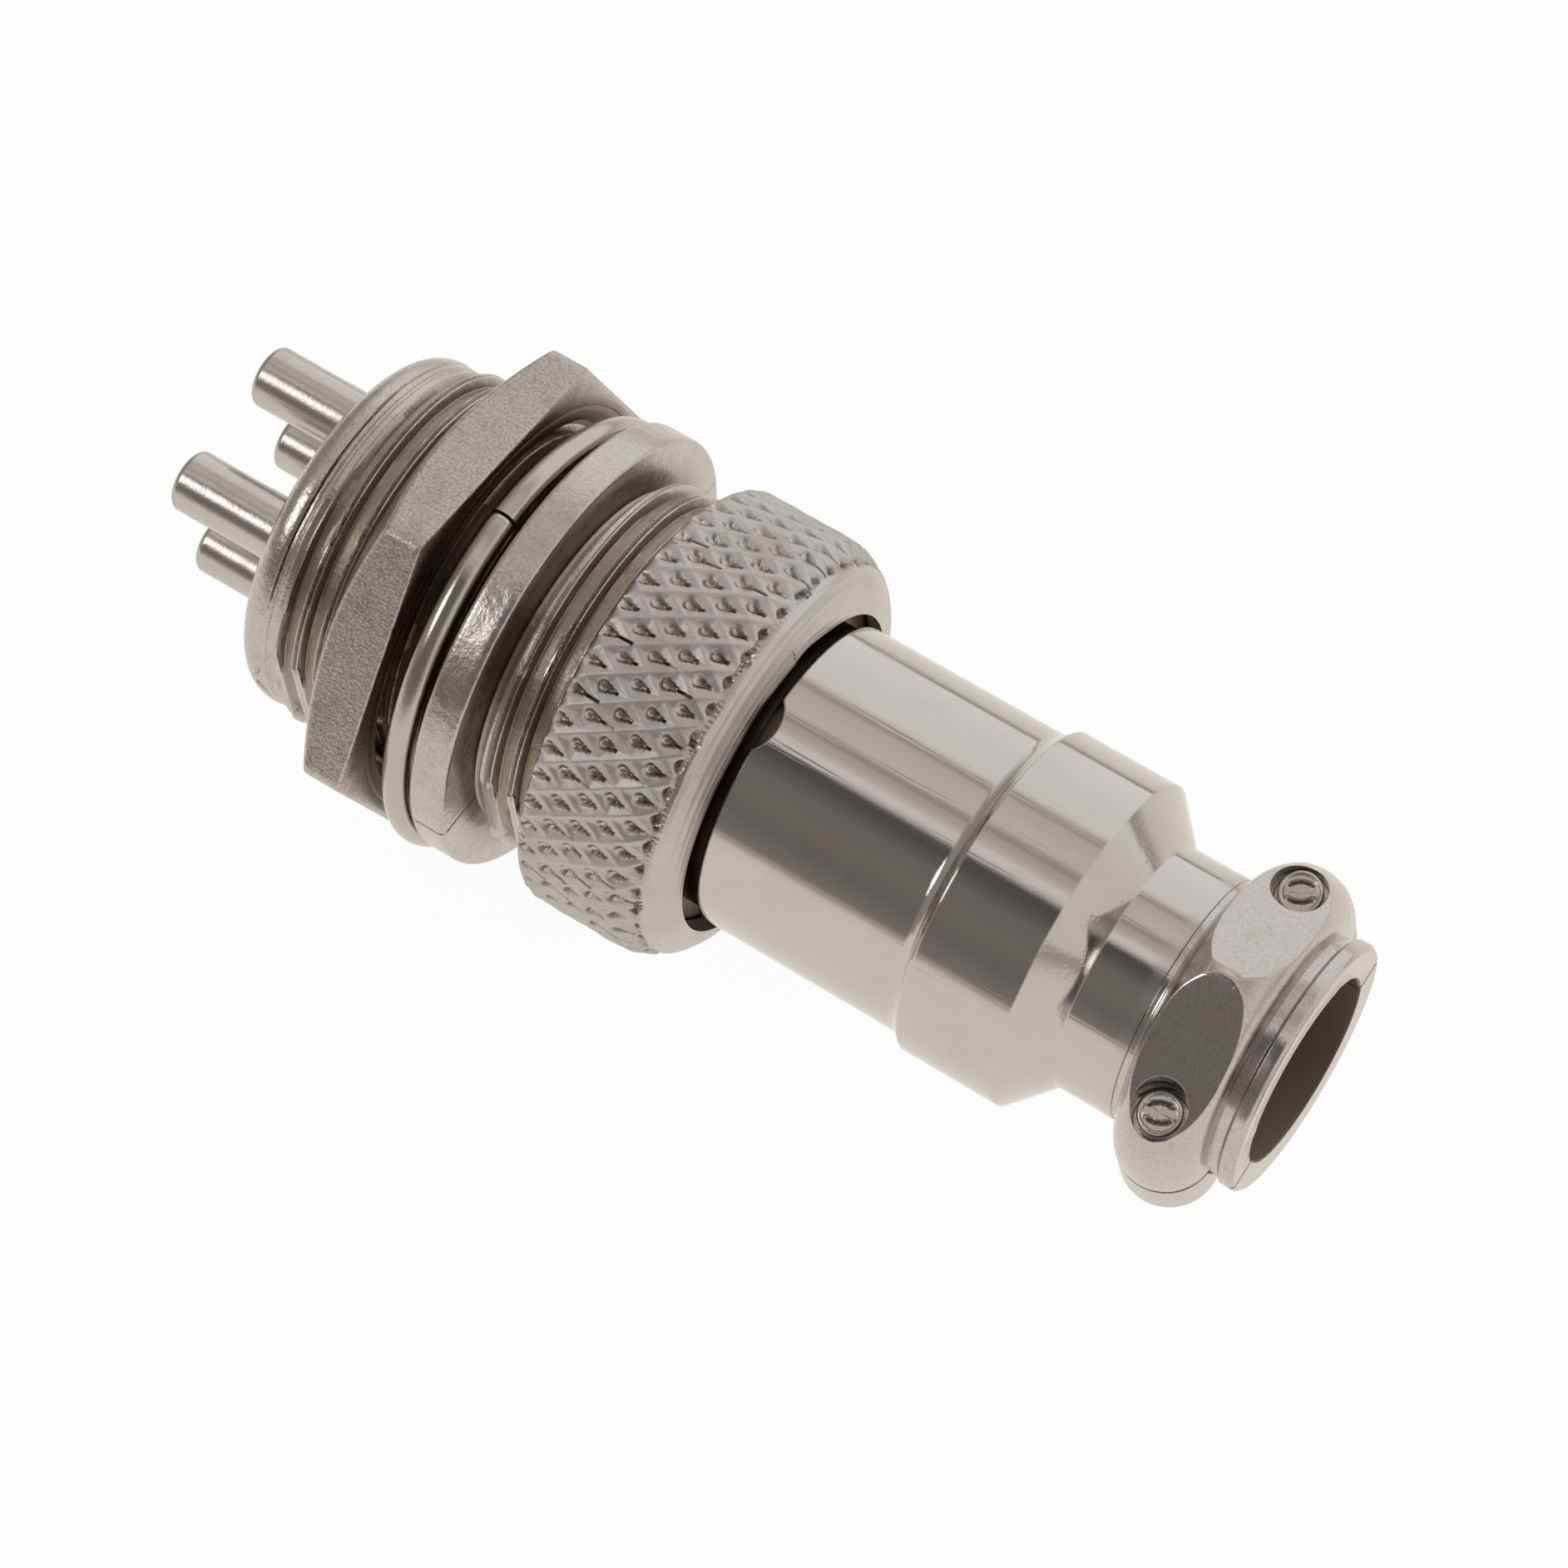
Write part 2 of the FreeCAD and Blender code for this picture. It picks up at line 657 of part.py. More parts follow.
def build_tail_shell():
    """Polished tube, wider band, neck, and the fixed lower half of the cable clamp."""
    body = new_body("tail_shell", angle="tail_roll")
    bore = "(neck_thread_dia/2 + tail_thread_fit)"
    thread_end = "(seat_end + neck_thread_len + thread_run_out)"
    turn_solid(body, [
        ("seat_end", bore),
        ("seat_end", "tube_dia/2 - tube_edge"),
        ("seat_end + tube_edge", "tube_dia/2"),
        ("band_start", "tube_dia/2", "band_ramp", 1),
        ("band_start + band_ramp*0.75", "band_dia/2 - tube_edge"),
        ("band_start + band_ramp", "band_dia/2"),
        ("band_end", "band_dia/2"),
        ("neck_start", "neck_dia/2"),
    ] + clamp_outline("clamp_place - 2*bulge_round", "neck_dia/2")[1:] + [
        ("neck_start + tube_edge", "cable_bore/2"),
        ("neck_start + tube_edge - bore_cone", "tube_bore/2"),
        (thread_end, "tube_bore/2"),
        (thread_end, bore),
    ])
    for side, across in screw_sides():
        rod(body, "lug_" + side, "Additive", "bulge_round", "lug_depth", x="clamp_place", y=across,
            z="-split_low - lug_depth")
    rod_along_axis(body, "cable_way", "Subtractive", "cable_bore/2", "clamp_start - bulge_round",
                   "end_place")
    block(body, "saddle_seat", "Subtractive", "end_place", "2*bulge_dia", "2*bulge_dia",
          x="clamp_start", y="-bulge_dia", z="-split_low")
    for side, across in screw_sides():
        rod(body, "screw_thread_" + side, "Subtractive", "screw_dia/2 + screw_fit", "bulge_dia",
            x="clamp_place", y=across, z="-bulge_dia")
    rod(body, "notch", "Subtractive", "notch_dia/2", "tube_dia",
        x="seat_end - notch_dia/2 + notch_depth", angle="-notch_roll - tail_roll")
    return body


def build_clamp_saddle():
    """Loose upper half of the clamp, with two facets where the screws sit in counterbores."""
    body = new_body("clamp_saddle", angle="tail_roll")
    start = "(clamp_start + saddle_gap)"
    turn_solid(body, clamp_outline(start, "neck_dia/2") + [(start, "cable_bore/2")])
    block(body, "lower_half", "Subtractive", "end_place", "2*bulge_dia", "bulge_dia",
          x="clamp_place - end_place/2", y="-bulge_dia", z="-split_high - bulge_dia")
    for side, roll in (("left", "facet_angle"), ("right", "-facet_angle")):
        radial_block(body, "facet_" + side, "Subtractive", "clamp_place - bulge_round - lip_len/2",
                     "2*bulge_round + lip_len", "facet_place", "bulge_dia", "bulge_dia", roll)
    for side, across in screw_sides():
        rod(body, "screw_hole_" + side, "Subtractive", "screw_hole_dia/2", "2*bulge_dia",
            x="clamp_place", y=across, z="-bulge_dia")
        rod(body, "counterbore_" + side, "Subtractive", "screw_sink_dia/2", "bulge_dia",
            x="clamp_place", y=across, z="screw_seat")
    return body


def build_clamp_screw(side, across):
    """Small slotted cheese-head screw, through the saddle into the lug below."""
    body = new_body("clamp_screw_" + side, angle="tail_roll")
    rod(body, "shank", "Additive", "screw_dia/2", "screw_reach + screw_seat", x="clamp_place",
        y=across, z="-screw_reach")
    rod(body, "head", "Additive", "screw_head_dia/2", "screw_head_len", x="clamp_place", y=across,
        z="screw_seat")
    block(body, "slot", "Subtractive", "2*screw_head_dia", "screw_slot_width", "screw_slot_depth",
          x="clamp_place - screw_head_dia", y=across + " - screw_slot_width/2",
          z="screw_seat + screw_head_len - screw_slot_depth")
    return body


build_socket_shell()
build_socket_insert()
for number in range(SIZES["contact_count"]):
    build_socket_pin(number)
build_hex_nut()
build_lock_washer()
build_plug_barrel()
build_plug_insert()
for number in range(SIZES["contact_count"]):
    build_plug_contact(number)
build_coupling_ring()
build_tail_shell()
build_clamp_saddle()
for screw_side, screw_across in screw_sides():
    build_clamp_screw(screw_side, screw_across)

doc.recompute()

for item in doc.Objects:
    if "Invalid" in item.State or "Error" in item.State:
        raise RuntimeError("%s did not build: %s" % (item.Name, item.State))
for node in nodes:
    if node.Shape.isNull() or not node.Shape.isValid() or len(node.Shape.Solids) != 1:
        raise RuntimeError("%s is not one valid solid" % node.Label)

os.makedirs("parts", exist_ok=True)
for node in nodes:
    node.Shape.exportStep(os.path.join("parts", node.Label + ".step"))
    box = node.Shape.BoundBox
    print("%-16s %9.2f mm3  X %7.2f %7.2f  Y %7.2f %7.2f  Z %7.2f %7.2f" % (
        node.Label, node.Shape.Volume, box.XMin, box.XMax, box.YMin, box.YMax, box.ZMin, box.ZMax))
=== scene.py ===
import math

import bmesh
import bpy
import numpy as np
from mathutils import Matrix, Vector


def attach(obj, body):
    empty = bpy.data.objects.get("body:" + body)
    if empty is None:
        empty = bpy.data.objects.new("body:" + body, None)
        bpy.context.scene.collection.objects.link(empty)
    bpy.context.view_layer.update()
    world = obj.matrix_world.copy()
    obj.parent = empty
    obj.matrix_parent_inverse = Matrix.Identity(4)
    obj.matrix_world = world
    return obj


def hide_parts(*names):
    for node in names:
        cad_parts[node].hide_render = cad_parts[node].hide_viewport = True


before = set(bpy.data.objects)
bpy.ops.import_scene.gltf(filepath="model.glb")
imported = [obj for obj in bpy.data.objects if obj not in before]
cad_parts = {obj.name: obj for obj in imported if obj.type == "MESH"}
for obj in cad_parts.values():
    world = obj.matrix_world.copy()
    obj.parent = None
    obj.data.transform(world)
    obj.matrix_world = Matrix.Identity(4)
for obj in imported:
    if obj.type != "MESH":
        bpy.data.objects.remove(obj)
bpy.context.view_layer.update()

MM = 0.001

# Sizes of the connector in the frame of its CAD model, in millimetres and radians
THREAD_R = 7.93
THREAD_PITCH = 1.0
THREAD_DEPTH = 0.44
THREAD_FLAT = 7.53
THREAD_HOLE = 7.97
PARTING = math.radians(80.0)
SHELL_REAR = -9.7
SHELL_FRONT = 9.2
SHELL_BORE = 6.3
MOUTH_BORE = 6.7
RIM_R = 7.65
RIM_ROUND = 1.0
FLANGE_R = 9.49
FLANGE_FRONT = 1.6
RING_R = 9.14
RING_START = 4.7
RING_LAND_END = 8.8
RING_ROUND = 2.4
RING_EDGE = 0.5
RING_HOLE = 7.0
NUT_FLAT = 9.5
NUT_CORNER = 10.9
NUT_REAR = -5.03
NUT_FRONT = -2.3
NUT_EDGE = 0.16
NUT_CHAMFER_R = 9.05
NUT_CHAMFER = math.radians(30.0)
WASHER_X = -0.72
WASHER_R = 9.0
KNURL_ROUND = 45
KNURL_LENGTH = 2.1
KNURL_DEPTH = 0.36
KNURL_HALF = 0.645
PIT_HALF = 0.3
PIT_BLUNT = 0.26
PIT_TRAIL = 0.8
TAIL_ROLL = math.radians(19.0)
CLAMP_X = 31.6
CLAMP_BORE = 3.95
SCREW_ACROSS = 4.98
# Points nearer than this are joined
JOIN_WITHIN = 0.0002 * MM

scene = bpy.context.scene
scene.view_settings.view_transform = "Standard"


# Colour and nodes

def linear(code):
    """A six-digit sRGB hex colour as linear RGBA."""
    parts = [int(code[start:start + 2], 16) / 255 for start in (0, 2, 4)]
    return [c / 12.92 if c <= 0.04045 else ((c + 0.055) / 1.055) ** 2.4 for c in parts] + [1.0]


def add(tree, kind, links=None, **settings):
    """Add a node; settings name its properties or sockets, links name the sockets to join."""
    node = tree.nodes.new(kind)
    for name, value in settings.items():
        if hasattr(node, name):
            setattr(node, name, value)
        else:
            node.inputs[name.replace("_", " ")].default_value = value
    for name, source in (links or {}).items():
        tree.links.new(source, node.inputs[name])
    return node


def new_material(name):
    """An empty material that has its output and a Principled shader, joined."""
    material = bpy.data.materials.new(name)
    material.use_nodes = True
    tree = material.node_tree
    tree.nodes.clear()
    shader = add(tree, "ShaderNodeBsdfPrincipled")
    add(tree, "ShaderNodeOutputMaterial", {"Surface": shader.outputs[0]})
    return material, tree, shader


def nickel(name, colour, dark, roughness, haze, grain_mm, grain, wave_mm, wave, scratch=0.0,
           stain=None, stain_mm=2.5, stain_share=0.3, speckle=0.0, soft_edge=0.0, cast_from=None,
           bore=None):
    """Electroplated nickel: a warm grey metal whose plate follows every mark of the part below it.
    Names in _mm are widths of a pattern; grain, wave and scratch are its depths in millimetres."""
    material, tree, shader = new_material(name)
    place = add(tree, "ShaderNodeTexCoord").outputs["Object"]
    # Cloudy patches where the plate is thinner or handled
    cloud = add(tree, "ShaderNodeTexNoise", {"Vector": place}, Scale=1000 / 4.0, Detail=3.0)
    tint = add(tree, "ShaderNodeMix", {"Factor": cloud.outputs["Fac"]}, data_type="RGBA",
               A=linear(colour), B=linear(dark))
    surface_colour = tint.outputs["Result"]
    rough = add(tree, "ShaderNodeMapRange", {"Value": cloud.outputs["Fac"]}, From_Min=0.3, From_Max=0.7,
                To_Min=roughness, To_Max=roughness + haze)
    surface_rough = rough.outputs[0]
    if stain:
        # Brown stains where the plate let the damp through
        spots = add(tree, "ShaderNodeTexNoise", {"Vector": place}, Scale=1000 / stain_mm, Detail=5.0,
                    Roughness=0.65)
        share = add(tree, "ShaderNodeMapRange", {"Value": spots.outputs["Fac"]}, From_Min=0.52,
                    From_Max=0.75, To_Max=stain_share)
        stained = add(tree, "ShaderNodeMix", {"Factor": share.outputs[0], "A": surface_colour},
                      data_type="RGBA", B=linear(stain))
        surface_colour = stained.outputs["Result"]
    if speckle:
        # Pin-sized dark specks where the plate is porous
        specks = add(tree, "ShaderNodeTexNoise", {"Vector": place}, Scale=1000 / 0.13, Detail=2.0)
        share = add(tree, "ShaderNodeMapRange", {"Value": specks.outputs["Fac"]}, From_Min=0.42,
                    From_Max=0.66, To_Max=speckle)
        specked = add(tree, "ShaderNodeMix", {"Factor": share.outputs[0], "A": surface_colour},
                      data_type="RGBA", B=linear("4A4138"))
        surface_colour = specked.outputs["Result"]
    # Brown tint and a duller plate where the mesh asks for it: painted shade in the gaps and corners next
    # to other parts, in the knurl's pits and in the ring's hole, and a brown tint towards the roots of
    # the threads and along the rim's crack
    dirt_and_shade = add(tree, "ShaderNodeAttribute", attribute_name="dirt_and_shade").outputs["Fac"]
    filmed = add(tree, "ShaderNodeMix", {"Factor": dirt_and_shade, "A": surface_colour}, data_type="RGBA",
                 B=linear("84735F"))
    surface_colour = filmed.outputs["Result"]
    dulled = add(tree, "ShaderNodeMath", {0: dirt_and_shade, 2: surface_rough}, operation="MULTIPLY_ADD")
    dulled.inputs[1].default_value = 0.2
    satin = add(tree, "ShaderNodeAttribute", attribute_name="satin").outputs["Fac"]
    duller = add(tree, "ShaderNodeMath", {0: satin, 2: dulled.outputs[0]}, operation="MULTIPLY_ADD")
    duller.inputs[1].default_value = 0.29
    surface_rough = duller.outputs[0]
    apart = add(tree, "ShaderNodeSeparateXYZ", {"Vector": place})
    if cast_from:
        # Beyond this place the turned and polished surface gives way to the skin of the casting
        skin_share = add(tree, "ShaderNodeMapRange", {"Value": apart.outputs["X"]},
                         From_Min=cast_from * MM, From_Max=(cast_from + 0.4) * MM, To_Max=0.13)
        rougher = add(tree, "ShaderNodeMath", {0: skin_share.outputs[0], 1: surface_rough})
        surface_rough = rougher.outputs[0]
    if bore:
        # The bore is left as cast, dull and brown
        flat_place = add(tree, "ShaderNodeCombineXYZ",
                         {"Y": apart.outputs["Y"], "Z": apart.outputs["Z"]})
        radius = add(tree, "ShaderNodeVectorMath", {0: flat_place.outputs[0]}, operation="LENGTH")
        inner = add(tree, "ShaderNodeMapRange", {"Value": radius.outputs["Value"]},
                    From_Min=(bore + 0.06) * MM, From_Max=bore * MM)
        dull = add(tree, "ShaderNodeMix", {"Factor": inner.outputs[0], "A": surface_colour},
                   data_type="RGBA", B=linear("857B6E"))
        surface_colour = dull.outputs["Result"]
        bore_rough = add(tree, "ShaderNodeMath", {0: inner.outputs[0], 2: surface_rough},
                         operation="MULTIPLY_ADD")
        bore_rough.inputs[1].default_value = 0.4
        surface_rough = bore_rough.outputs[0]
        metal = add(tree, "ShaderNodeMapRange", {"Value": inner.outputs[0]}, To_Min=1.0, To_Max=0.35)
        tree.links.new(metal.outputs[0], shader.inputs["Metallic"])
    else:
        shader.inputs["Metallic"].default_value = 1.0
    tree.links.new(surface_colour, shader.inputs["Base Color"])
    tree.links.new(surface_rough, shader.inputs["Roughness"])
    # Fine grain over a slow wave of the surface
    fine = add(tree, "ShaderNodeTexNoise", {"Vector": place}, Scale=1000 / grain_mm, Detail=4.0,
               Roughness=0.6)
    slow = add(tree, "ShaderNodeTexNoise", {"Vector": place}, Scale=1000 / wave_mm, Detail=1.0)
    low = add(tree, "ShaderNodeBump", {"Height": slow.outputs["Fac"]}, Distance=wave * MM)
    if soft_edge:
        # Edges rounded by tumbling and by the thickness of the plate
        rounded = add(tree, "ShaderNodeBevel", samples=6, Radius=soft_edge * MM)
        tree.links.new(rounded.outputs[0], low.inputs["Normal"])
    normal = add(tree, "ShaderNodeBump", {"Height": fine.outputs["Fac"], "Normal": low.outputs[0]},
                 Distance=grain * MM)
    if scratch:
        # Handling scratches: long thin streaks that run in all directions
        for turn in (0.3, 1.4, 2.5):
            lean = add(tree, "ShaderNodeMapping", {"Vector": place},
                       Rotation=(turn * 0.7, turn, turn * 1.9), Scale=(1.0, 26.0, 26.0))
            streak = add(tree, "ShaderNodeTexNoise", {"Vector": lean.outputs[0]}, Scale=1000 / 7.0,
                         Detail=2.0)
            sharp = add(tree, "ShaderNodeMapRange", {"Value": streak.outputs["Fac"]}, From_Min=0.64,
                        From_Max=0.72)
            normal = add(tree, "ShaderNodeBump",
                         {"Height": sharp.outputs[0], "Normal": normal.outputs[0]},
                         Distance=scratch * MM, invert=True)
        # Small dents where it knocked against other parts
        dents = add(tree, "ShaderNodeTexVoronoi", {"Vector": place}, Scale=1000 / 1.7)
        hollow = add(tree, "ShaderNodeMapRange", {"Value": dents.outputs["Distance"]},
                     interpolation_type="SMOOTHSTEP", From_Max=0.13)
        normal = add(tree, "ShaderNodeBump", {"Height": hollow.outputs[0], "Normal": normal.outputs[0]},
                     Distance=0.004 * MM)
    tree.links.new(normal.outputs[0], shader.inputs["Normal"])
    return material


# Barrel-polished before plating, so it mirrors the room, with fine scratches from handling.
# The clamp at its end keeps the casting's skin
polished = nickel("polished_nickel_plate", "CBC8C4", "C4C0BB", roughness=0.045, haze=0.04,
                  grain_mm=0.09, grain=0.0009, wave_mm=1.6, wave=0.005, scratch=0.0014,
                  stain="A89E8C", stain_share=0.12, soft_edge=0.14, cast_from=28.6, bore=CLAMP_BORE)
# Die-cast and plated as cast: the same nickel over a slightly lumpy skin
cast_plate = nickel("cast_nickel_plate", "CCC8C3", "C0BAB2", roughness=0.14, haze=0.10,
                    grain_mm=0.15, grain=0.018, wave_mm=0.7, wave=0.03,
                    stain="9B8B70", stain_mm=1.6, stain_share=0.3, speckle=0.14)
# Knurl rolled before plating: the plate on it is satin, its pits duller
knurled_plate = nickel("knurled_nickel_plate", "CDCAC7", "C3BFBB", roughness=0.16, haze=0.06,
                       grain_mm=0.14, grain=0.007, wave_mm=0.8, wave=0.012,
                       stain="8F8064", stain_mm=2.2, stain_share=0.22, speckle=0.05)
# Blanked nut, tumbled and plated thin: matt and grainy
nut_plate = nickel("tumbled_nickel_plate", "C9C3BC", "C0B9B1", roughness=0.13, haze=0.05,
                   grain_mm=0.11, grain=0.03, wave_mm=0.7, wave=0.02,
                   stain="7E6A4C", stain_mm=1.3, stain_share=0.3, speckle=0.3)
# Rolled spring wire, plated: smooth along the wire
wire_plate = nickel("plated_spring_wire", "C4C0BA", "B8B2AA", roughness=0.14, haze=0.08,
                    grain_mm=0.2, grain=0.005, wave_mm=1.5, wave=0.01)
# Plug barrel: plated brass, painted dark for the shade of the narrow gap it is seen through
barrel_plate_painted_dark = nickel("brass_plate_painted_dark", "6E6458", "5A5147", roughness=0.3, haze=0.1,
                    grain_mm=0.2, grain=0.01, wave_mm=0.8, wave=0.02)
# Silver-plated turned brass: bright and satin
silvered = nickel("silvered_brass", "CFCBC7", "C0B9B2", roughness=0.17, haze=0.09,
                  grain_mm=0.12, grain=0.006, wave_mm=1.0, wave=0.012, speckle=0.06)
# Plated steel of the small screws
screw_plate = nickel("plated_screw_steel", "D2CDC8", "BFB9B3", roughness=0.17, haze=0.08,
                     grain_mm=0.12, grain=0.012, wave_mm=0.5, wave=0.03, speckle=0.12)
# Clamp saddle: the same casting as the tail's end, tumbled, with a dull bore
clamp_plate = nickel("tumbled_cast_nickel_plate", "CDC9C5", "C5C0BB", roughness=0.13, haze=0.08,
                     grain_mm=0.13, grain=0.003, wave_mm=0.9, wave=0.02, scratch=0.0016,
                     stain="9B8B70", stain_mm=1.6, stain_share=0.22, speckle=0.14,
                     soft_edge=0.06, bore=CLAMP_BORE)

# Black phenolic moulding: dull, with a faint grain of its wood-flour filler
phenolic, phenolic_tree, phenolic_shader = new_material("black_phenolic_moulding")
phenolic_shader.inputs["Roughness"].default_value = 0.45
phenolic_place = add(phenolic_tree, "ShaderNodeTexCoord").outputs["Object"]
filler = add(phenolic_tree, "ShaderNodeTexNoise", {"Vector": phenolic_place}, Scale=1000 / 0.3,
             Detail=4.0)
filler_tint = add(phenolic_tree, "ShaderNodeMix", {"Factor": filler.outputs["Fac"]}, data_type="RGBA",
                  A=linear("1B1A1A"), B=linear("2A2827"))
phenolic_tree.links.new(filler_tint.outputs["Result"], phenolic_shader.inputs["Base Color"])
filler_bump = add(phenolic_tree, "ShaderNodeBump", {"Height": filler.outputs["Fac"]},
                  Distance=0.01 * MM)
phenolic_tree.links.new(filler_bump.outputs[0], phenolic_shader.inputs["Normal"])


# Mesh tools for turned pieces

def grid(profile, around):
    """Points of a profile turned about X, as one row of places and radii for each profile point."""
    x = np.repeat(np.array([point[0] for point in profile])[:, None], len(around), axis=1)
    r = np.repeat(np.array([point[1] for point in profile])[:, None], len(around), axis=1)
    return x, r


def steps(start, end, size):
    """Evenly spaced places from start up to but not including end, about size apart."""
    count = max(1, int(round(abs(end - start) / size)))
    return [start + (end - start) * index / count for index in range(count)]


def smooth(low, high, value):
    """A soft step from 0 at low to 1 at high."""
    share = np.clip((value - low) / (high - low), 0, 1)
    return share * share * (3 - 2 * share)


def soft_min(a, b, width):
    """The smaller of two radii, rounded over where they cross."""
    share = np.clip(0.5 + 0.5 * (b - a) / width, 0, 1)
    return b + (a - b) * share - width * share * (1 - share)


def ripple(theta, seed, count=9, rough=0.6):
    """A repeatable uneven line round the axis, between about -1 and 1."""
    total = np.zeros_like(theta)
    size = 1.0
    for index in range(1, count + 1):
        total += size * np.sin(theta * (index * 2 + 1) + seed * index * 1.7)
        size *= rough
    return total * (1 - rough)


def skin(name, grids, around, sharp=35.0):
    """A closed mesh from grids that follow each other round the profile. Each grid holds places, radii
    and the shares of brown tint and painted shade and of satin; its last column meets its first, also
    some rows on."""
    x = np.concatenate([rows[0] for rows in grids])
    r = np.concatenate([rows[1] for rows in grids])
    dirt_and_shade = np.concatenate([rows[2] if len(rows) > 2 else np.zeros_like(rows[0]) for rows in grids])
    satin = np.concatenate([rows[3] if len(rows) > 3 else np.zeros_like(rows[0]) for rows in grids])
    rows, columns = x.shape
    verts = np.stack([x, r * np.sin(around)[None, :], r * np.cos(around)[None, :]], axis=-1)
    mesh = bpy.data.meshes.new(name)
    row = np.arange(rows)[:, None]
    column = np.arange(columns - 1)[None, :]
    next_row = (row + 1) % rows
    faces = np.stack([row * columns + column, row * columns + column + 1,
                      next_row * columns + column + 1, next_row * columns + column], axis=-1)
    mesh.from_pydata((verts.reshape(-1, 3) * MM).tolist(), [], faces.reshape(-1, 4).tolist())
    for attribute, shares in (("dirt_and_shade", dirt_and_shade), ("satin", satin)):
        mesh.attributes.new(attribute, "FLOAT", "POINT").data.foreach_set("value", shares.reshape(-1))
    return finish_mesh(name, mesh, sharp)


def finish_mesh(name, mesh, sharp=35.0):
    """Join what touches, turn the faces outwards, smooth all but sharp edges, make the object."""
    work = bmesh.new()
    work.from_mesh(mesh)
    bmesh.ops.remove_doubles(work, verts=work.verts, dist=JOIN_WITHIN)
    bmesh.ops.dissolve_degenerate(work, edges=work.edges, dist=JOIN_WITHIN)
    bmesh.ops.recalc_face_normals(work, faces=work.faces)
    limit = math.radians(sharp)
    for face in work.faces:
        face.smooth = True
    for edge in work.edges:
        edge.smooth = edge.is_manifold and edge.calc_face_angle(0) < limit
    work.to_mesh(mesh)
    work.free()
    piece = bpy.data.objects.new(name, mesh)
    scene.collection.objects.link(piece)
    return piece


def dress(piece, material):
    """Give a piece its one material."""
    piece.data.materials.clear()
    piece.data.materials.append(material)


def angles(count, marks=(), spread=0.006):
    """Angles once round the axis, with a few close together at each mark for a fine line there."""
    places = list(np.arange(count) * 2 * math.pi / count)
    for mark in marks:
        for share in (-1.0, -0.5, 0.0, 0.5, 1.0):
            places.append((mark + share * spread) % (2 * math.pi))
    return np.array(sorted(places) + [2 * math.pi])


# Socket shell with its two threads

# One turn of the thread's profile: place along X in pitches from the crest, and depth from 0 on the
# crest to 1 at the root. Thread rolling left a seam along the middle of the crest
THREAD_TURN = [(-0.18, 0.2), (-0.14, 0.03), (-0.09, 0.0), (0.0, 0.42), (0.09, 0.0), (0.14, 0.03),
               (0.18, 0.2), (0.25, 0.92), (0.3, 1.0), (0.5, 1.0), (0.7, 1.0), (0.75, 0.92)]


def thread_grid(start, end, phase, fade_in, fade_out, around):
    """Rows that wind along a right-hand thread between two places, so its crest stays crisp."""
    wind = around / (2 * math.pi)
    x_rows = []
    r_rows = []
    film_rows = []
    satin_rows = []
    first = math.floor(start - phase) - 1
    last = math.ceil(end - phase) + 2
    for turn in range(first, last):
        for place, depth in THREAD_TURN:
            x = phase + (turn + place - wind) * THREAD_PITCH
            if x.max() < start or x.min() > end:
                continue
            x = np.clip(x, start, end)
            cut = smooth(start, start + fade_in, x) * smooth(end, end - fade_out, x)
            uneven = 0.018 * ripple(around * 3, turn * 0.7 + place * 5, 6, 0.8) * (1 - depth)
            x_rows.append(x)
            r_rows.append(THREAD_R - THREAD_DEPTH * cut * depth + uneven * cut)
            film_rows.append(0.7 * cut * depth)
            satin_rows.append(-0.22 * (1 - depth) * cut)
    x = np.array([np.full_like(around, start)] + x_rows + [np.full_like(around, end)])
    r = np.array([np.full_like(around, THREAD_R)] + r_rows + [np.full_like(around, THREAD_R)])
    none = [np.zeros_like(around)]
    return x, r, np.array(none + film_rows + none), np.array(none + satin_rows + none)


def cut_flats(r, theta):
    """The two flats where the casting die parted."""
    for side in (PARTING, PARTING + math.pi):
        facing = np.cos(theta - side)
        flat = np.where(facing > 0.5, THREAD_FLAT / np.maximum(facing, 0.5), 99.0)
        r = soft_min(r, flat, 0.05)
    return r


around = angles(372, marks=(PARTING, PARTING + math.pi))
rim = [(SHELL_REAR, 5.8), (SHELL_REAR, 6.2)]
for step in range(0, 10):
    turn = math.radians(10 * step)
    rim.append((SHELL_REAR + RIM_ROUND - RIM_ROUND * math.cos(turn),
                RIM_R - RIM_ROUND + RIM_ROUND * math.sin(turn)))
rim += [(x, RIM_R) for x in steps(-8.66, -8.2, 0.035)]
rim += [(x, RIM_R) for x in steps(-8.2, -7.82, 0.045)]
rim += [(-7.8, 7.64), (-7.75, 7.6)]
rim_x, rim_r = grid(rim, around)
theta = np.repeat(around[None, :], len(rim), axis=0)
# The rim was rolled over after plating: the plate is creased and cracked along an uneven line
crease = -8.44 + 0.34 * ripple(theta, 2.1, 16, 0.84)
crease_depth = 0.24 * np.clip(0.4 + ripple(theta, 5.3, 7), 0, 1)
at_crease = np.exp(-((rim_x - crease) / 0.034) ** 2) * (rim_x > -9.2)
fold = 0.05 * smooth(0.1, -0.2, rim_x - crease) * (rim_x > -9.6)
rim_r = rim_r - crease_depth * at_crease + fold
rim_r = rim_r + 0.04 * ripple(theta, 1.2, 9, 0.75) * smooth(-9.6, -8.9, rim_x)
# Fine turning rings in front of the crease
rim_r = rim_r - 0.035 * smooth(-8.25, -8.2, rim_x) * np.cos((rim_x + 8.2) * 2 * math.pi / 0.135) ** 2
rim_film = at_crease * crease_depth / 0.24

rear_x, rear_r, rear_tint_and_shade, rear_satin = thread_grid(-7.72, -0.02, phase=0.14, fade_in=0.35,
                                                    fade_out=0.4, around=around)
theta = np.repeat(around[None, :], len(rear_x), axis=0)
rear_r = cut_flats(rear_r - 0.25 * smooth(-7.5, -7.72, rear_x), theta)
# Painted shade on the thread between nut, washer and flange, on top of the tint in its valleys
rear_tint_and_shade = np.maximum(rear_tint_and_shade, 0.9 * smooth(-2.6, -2.2, rear_x))

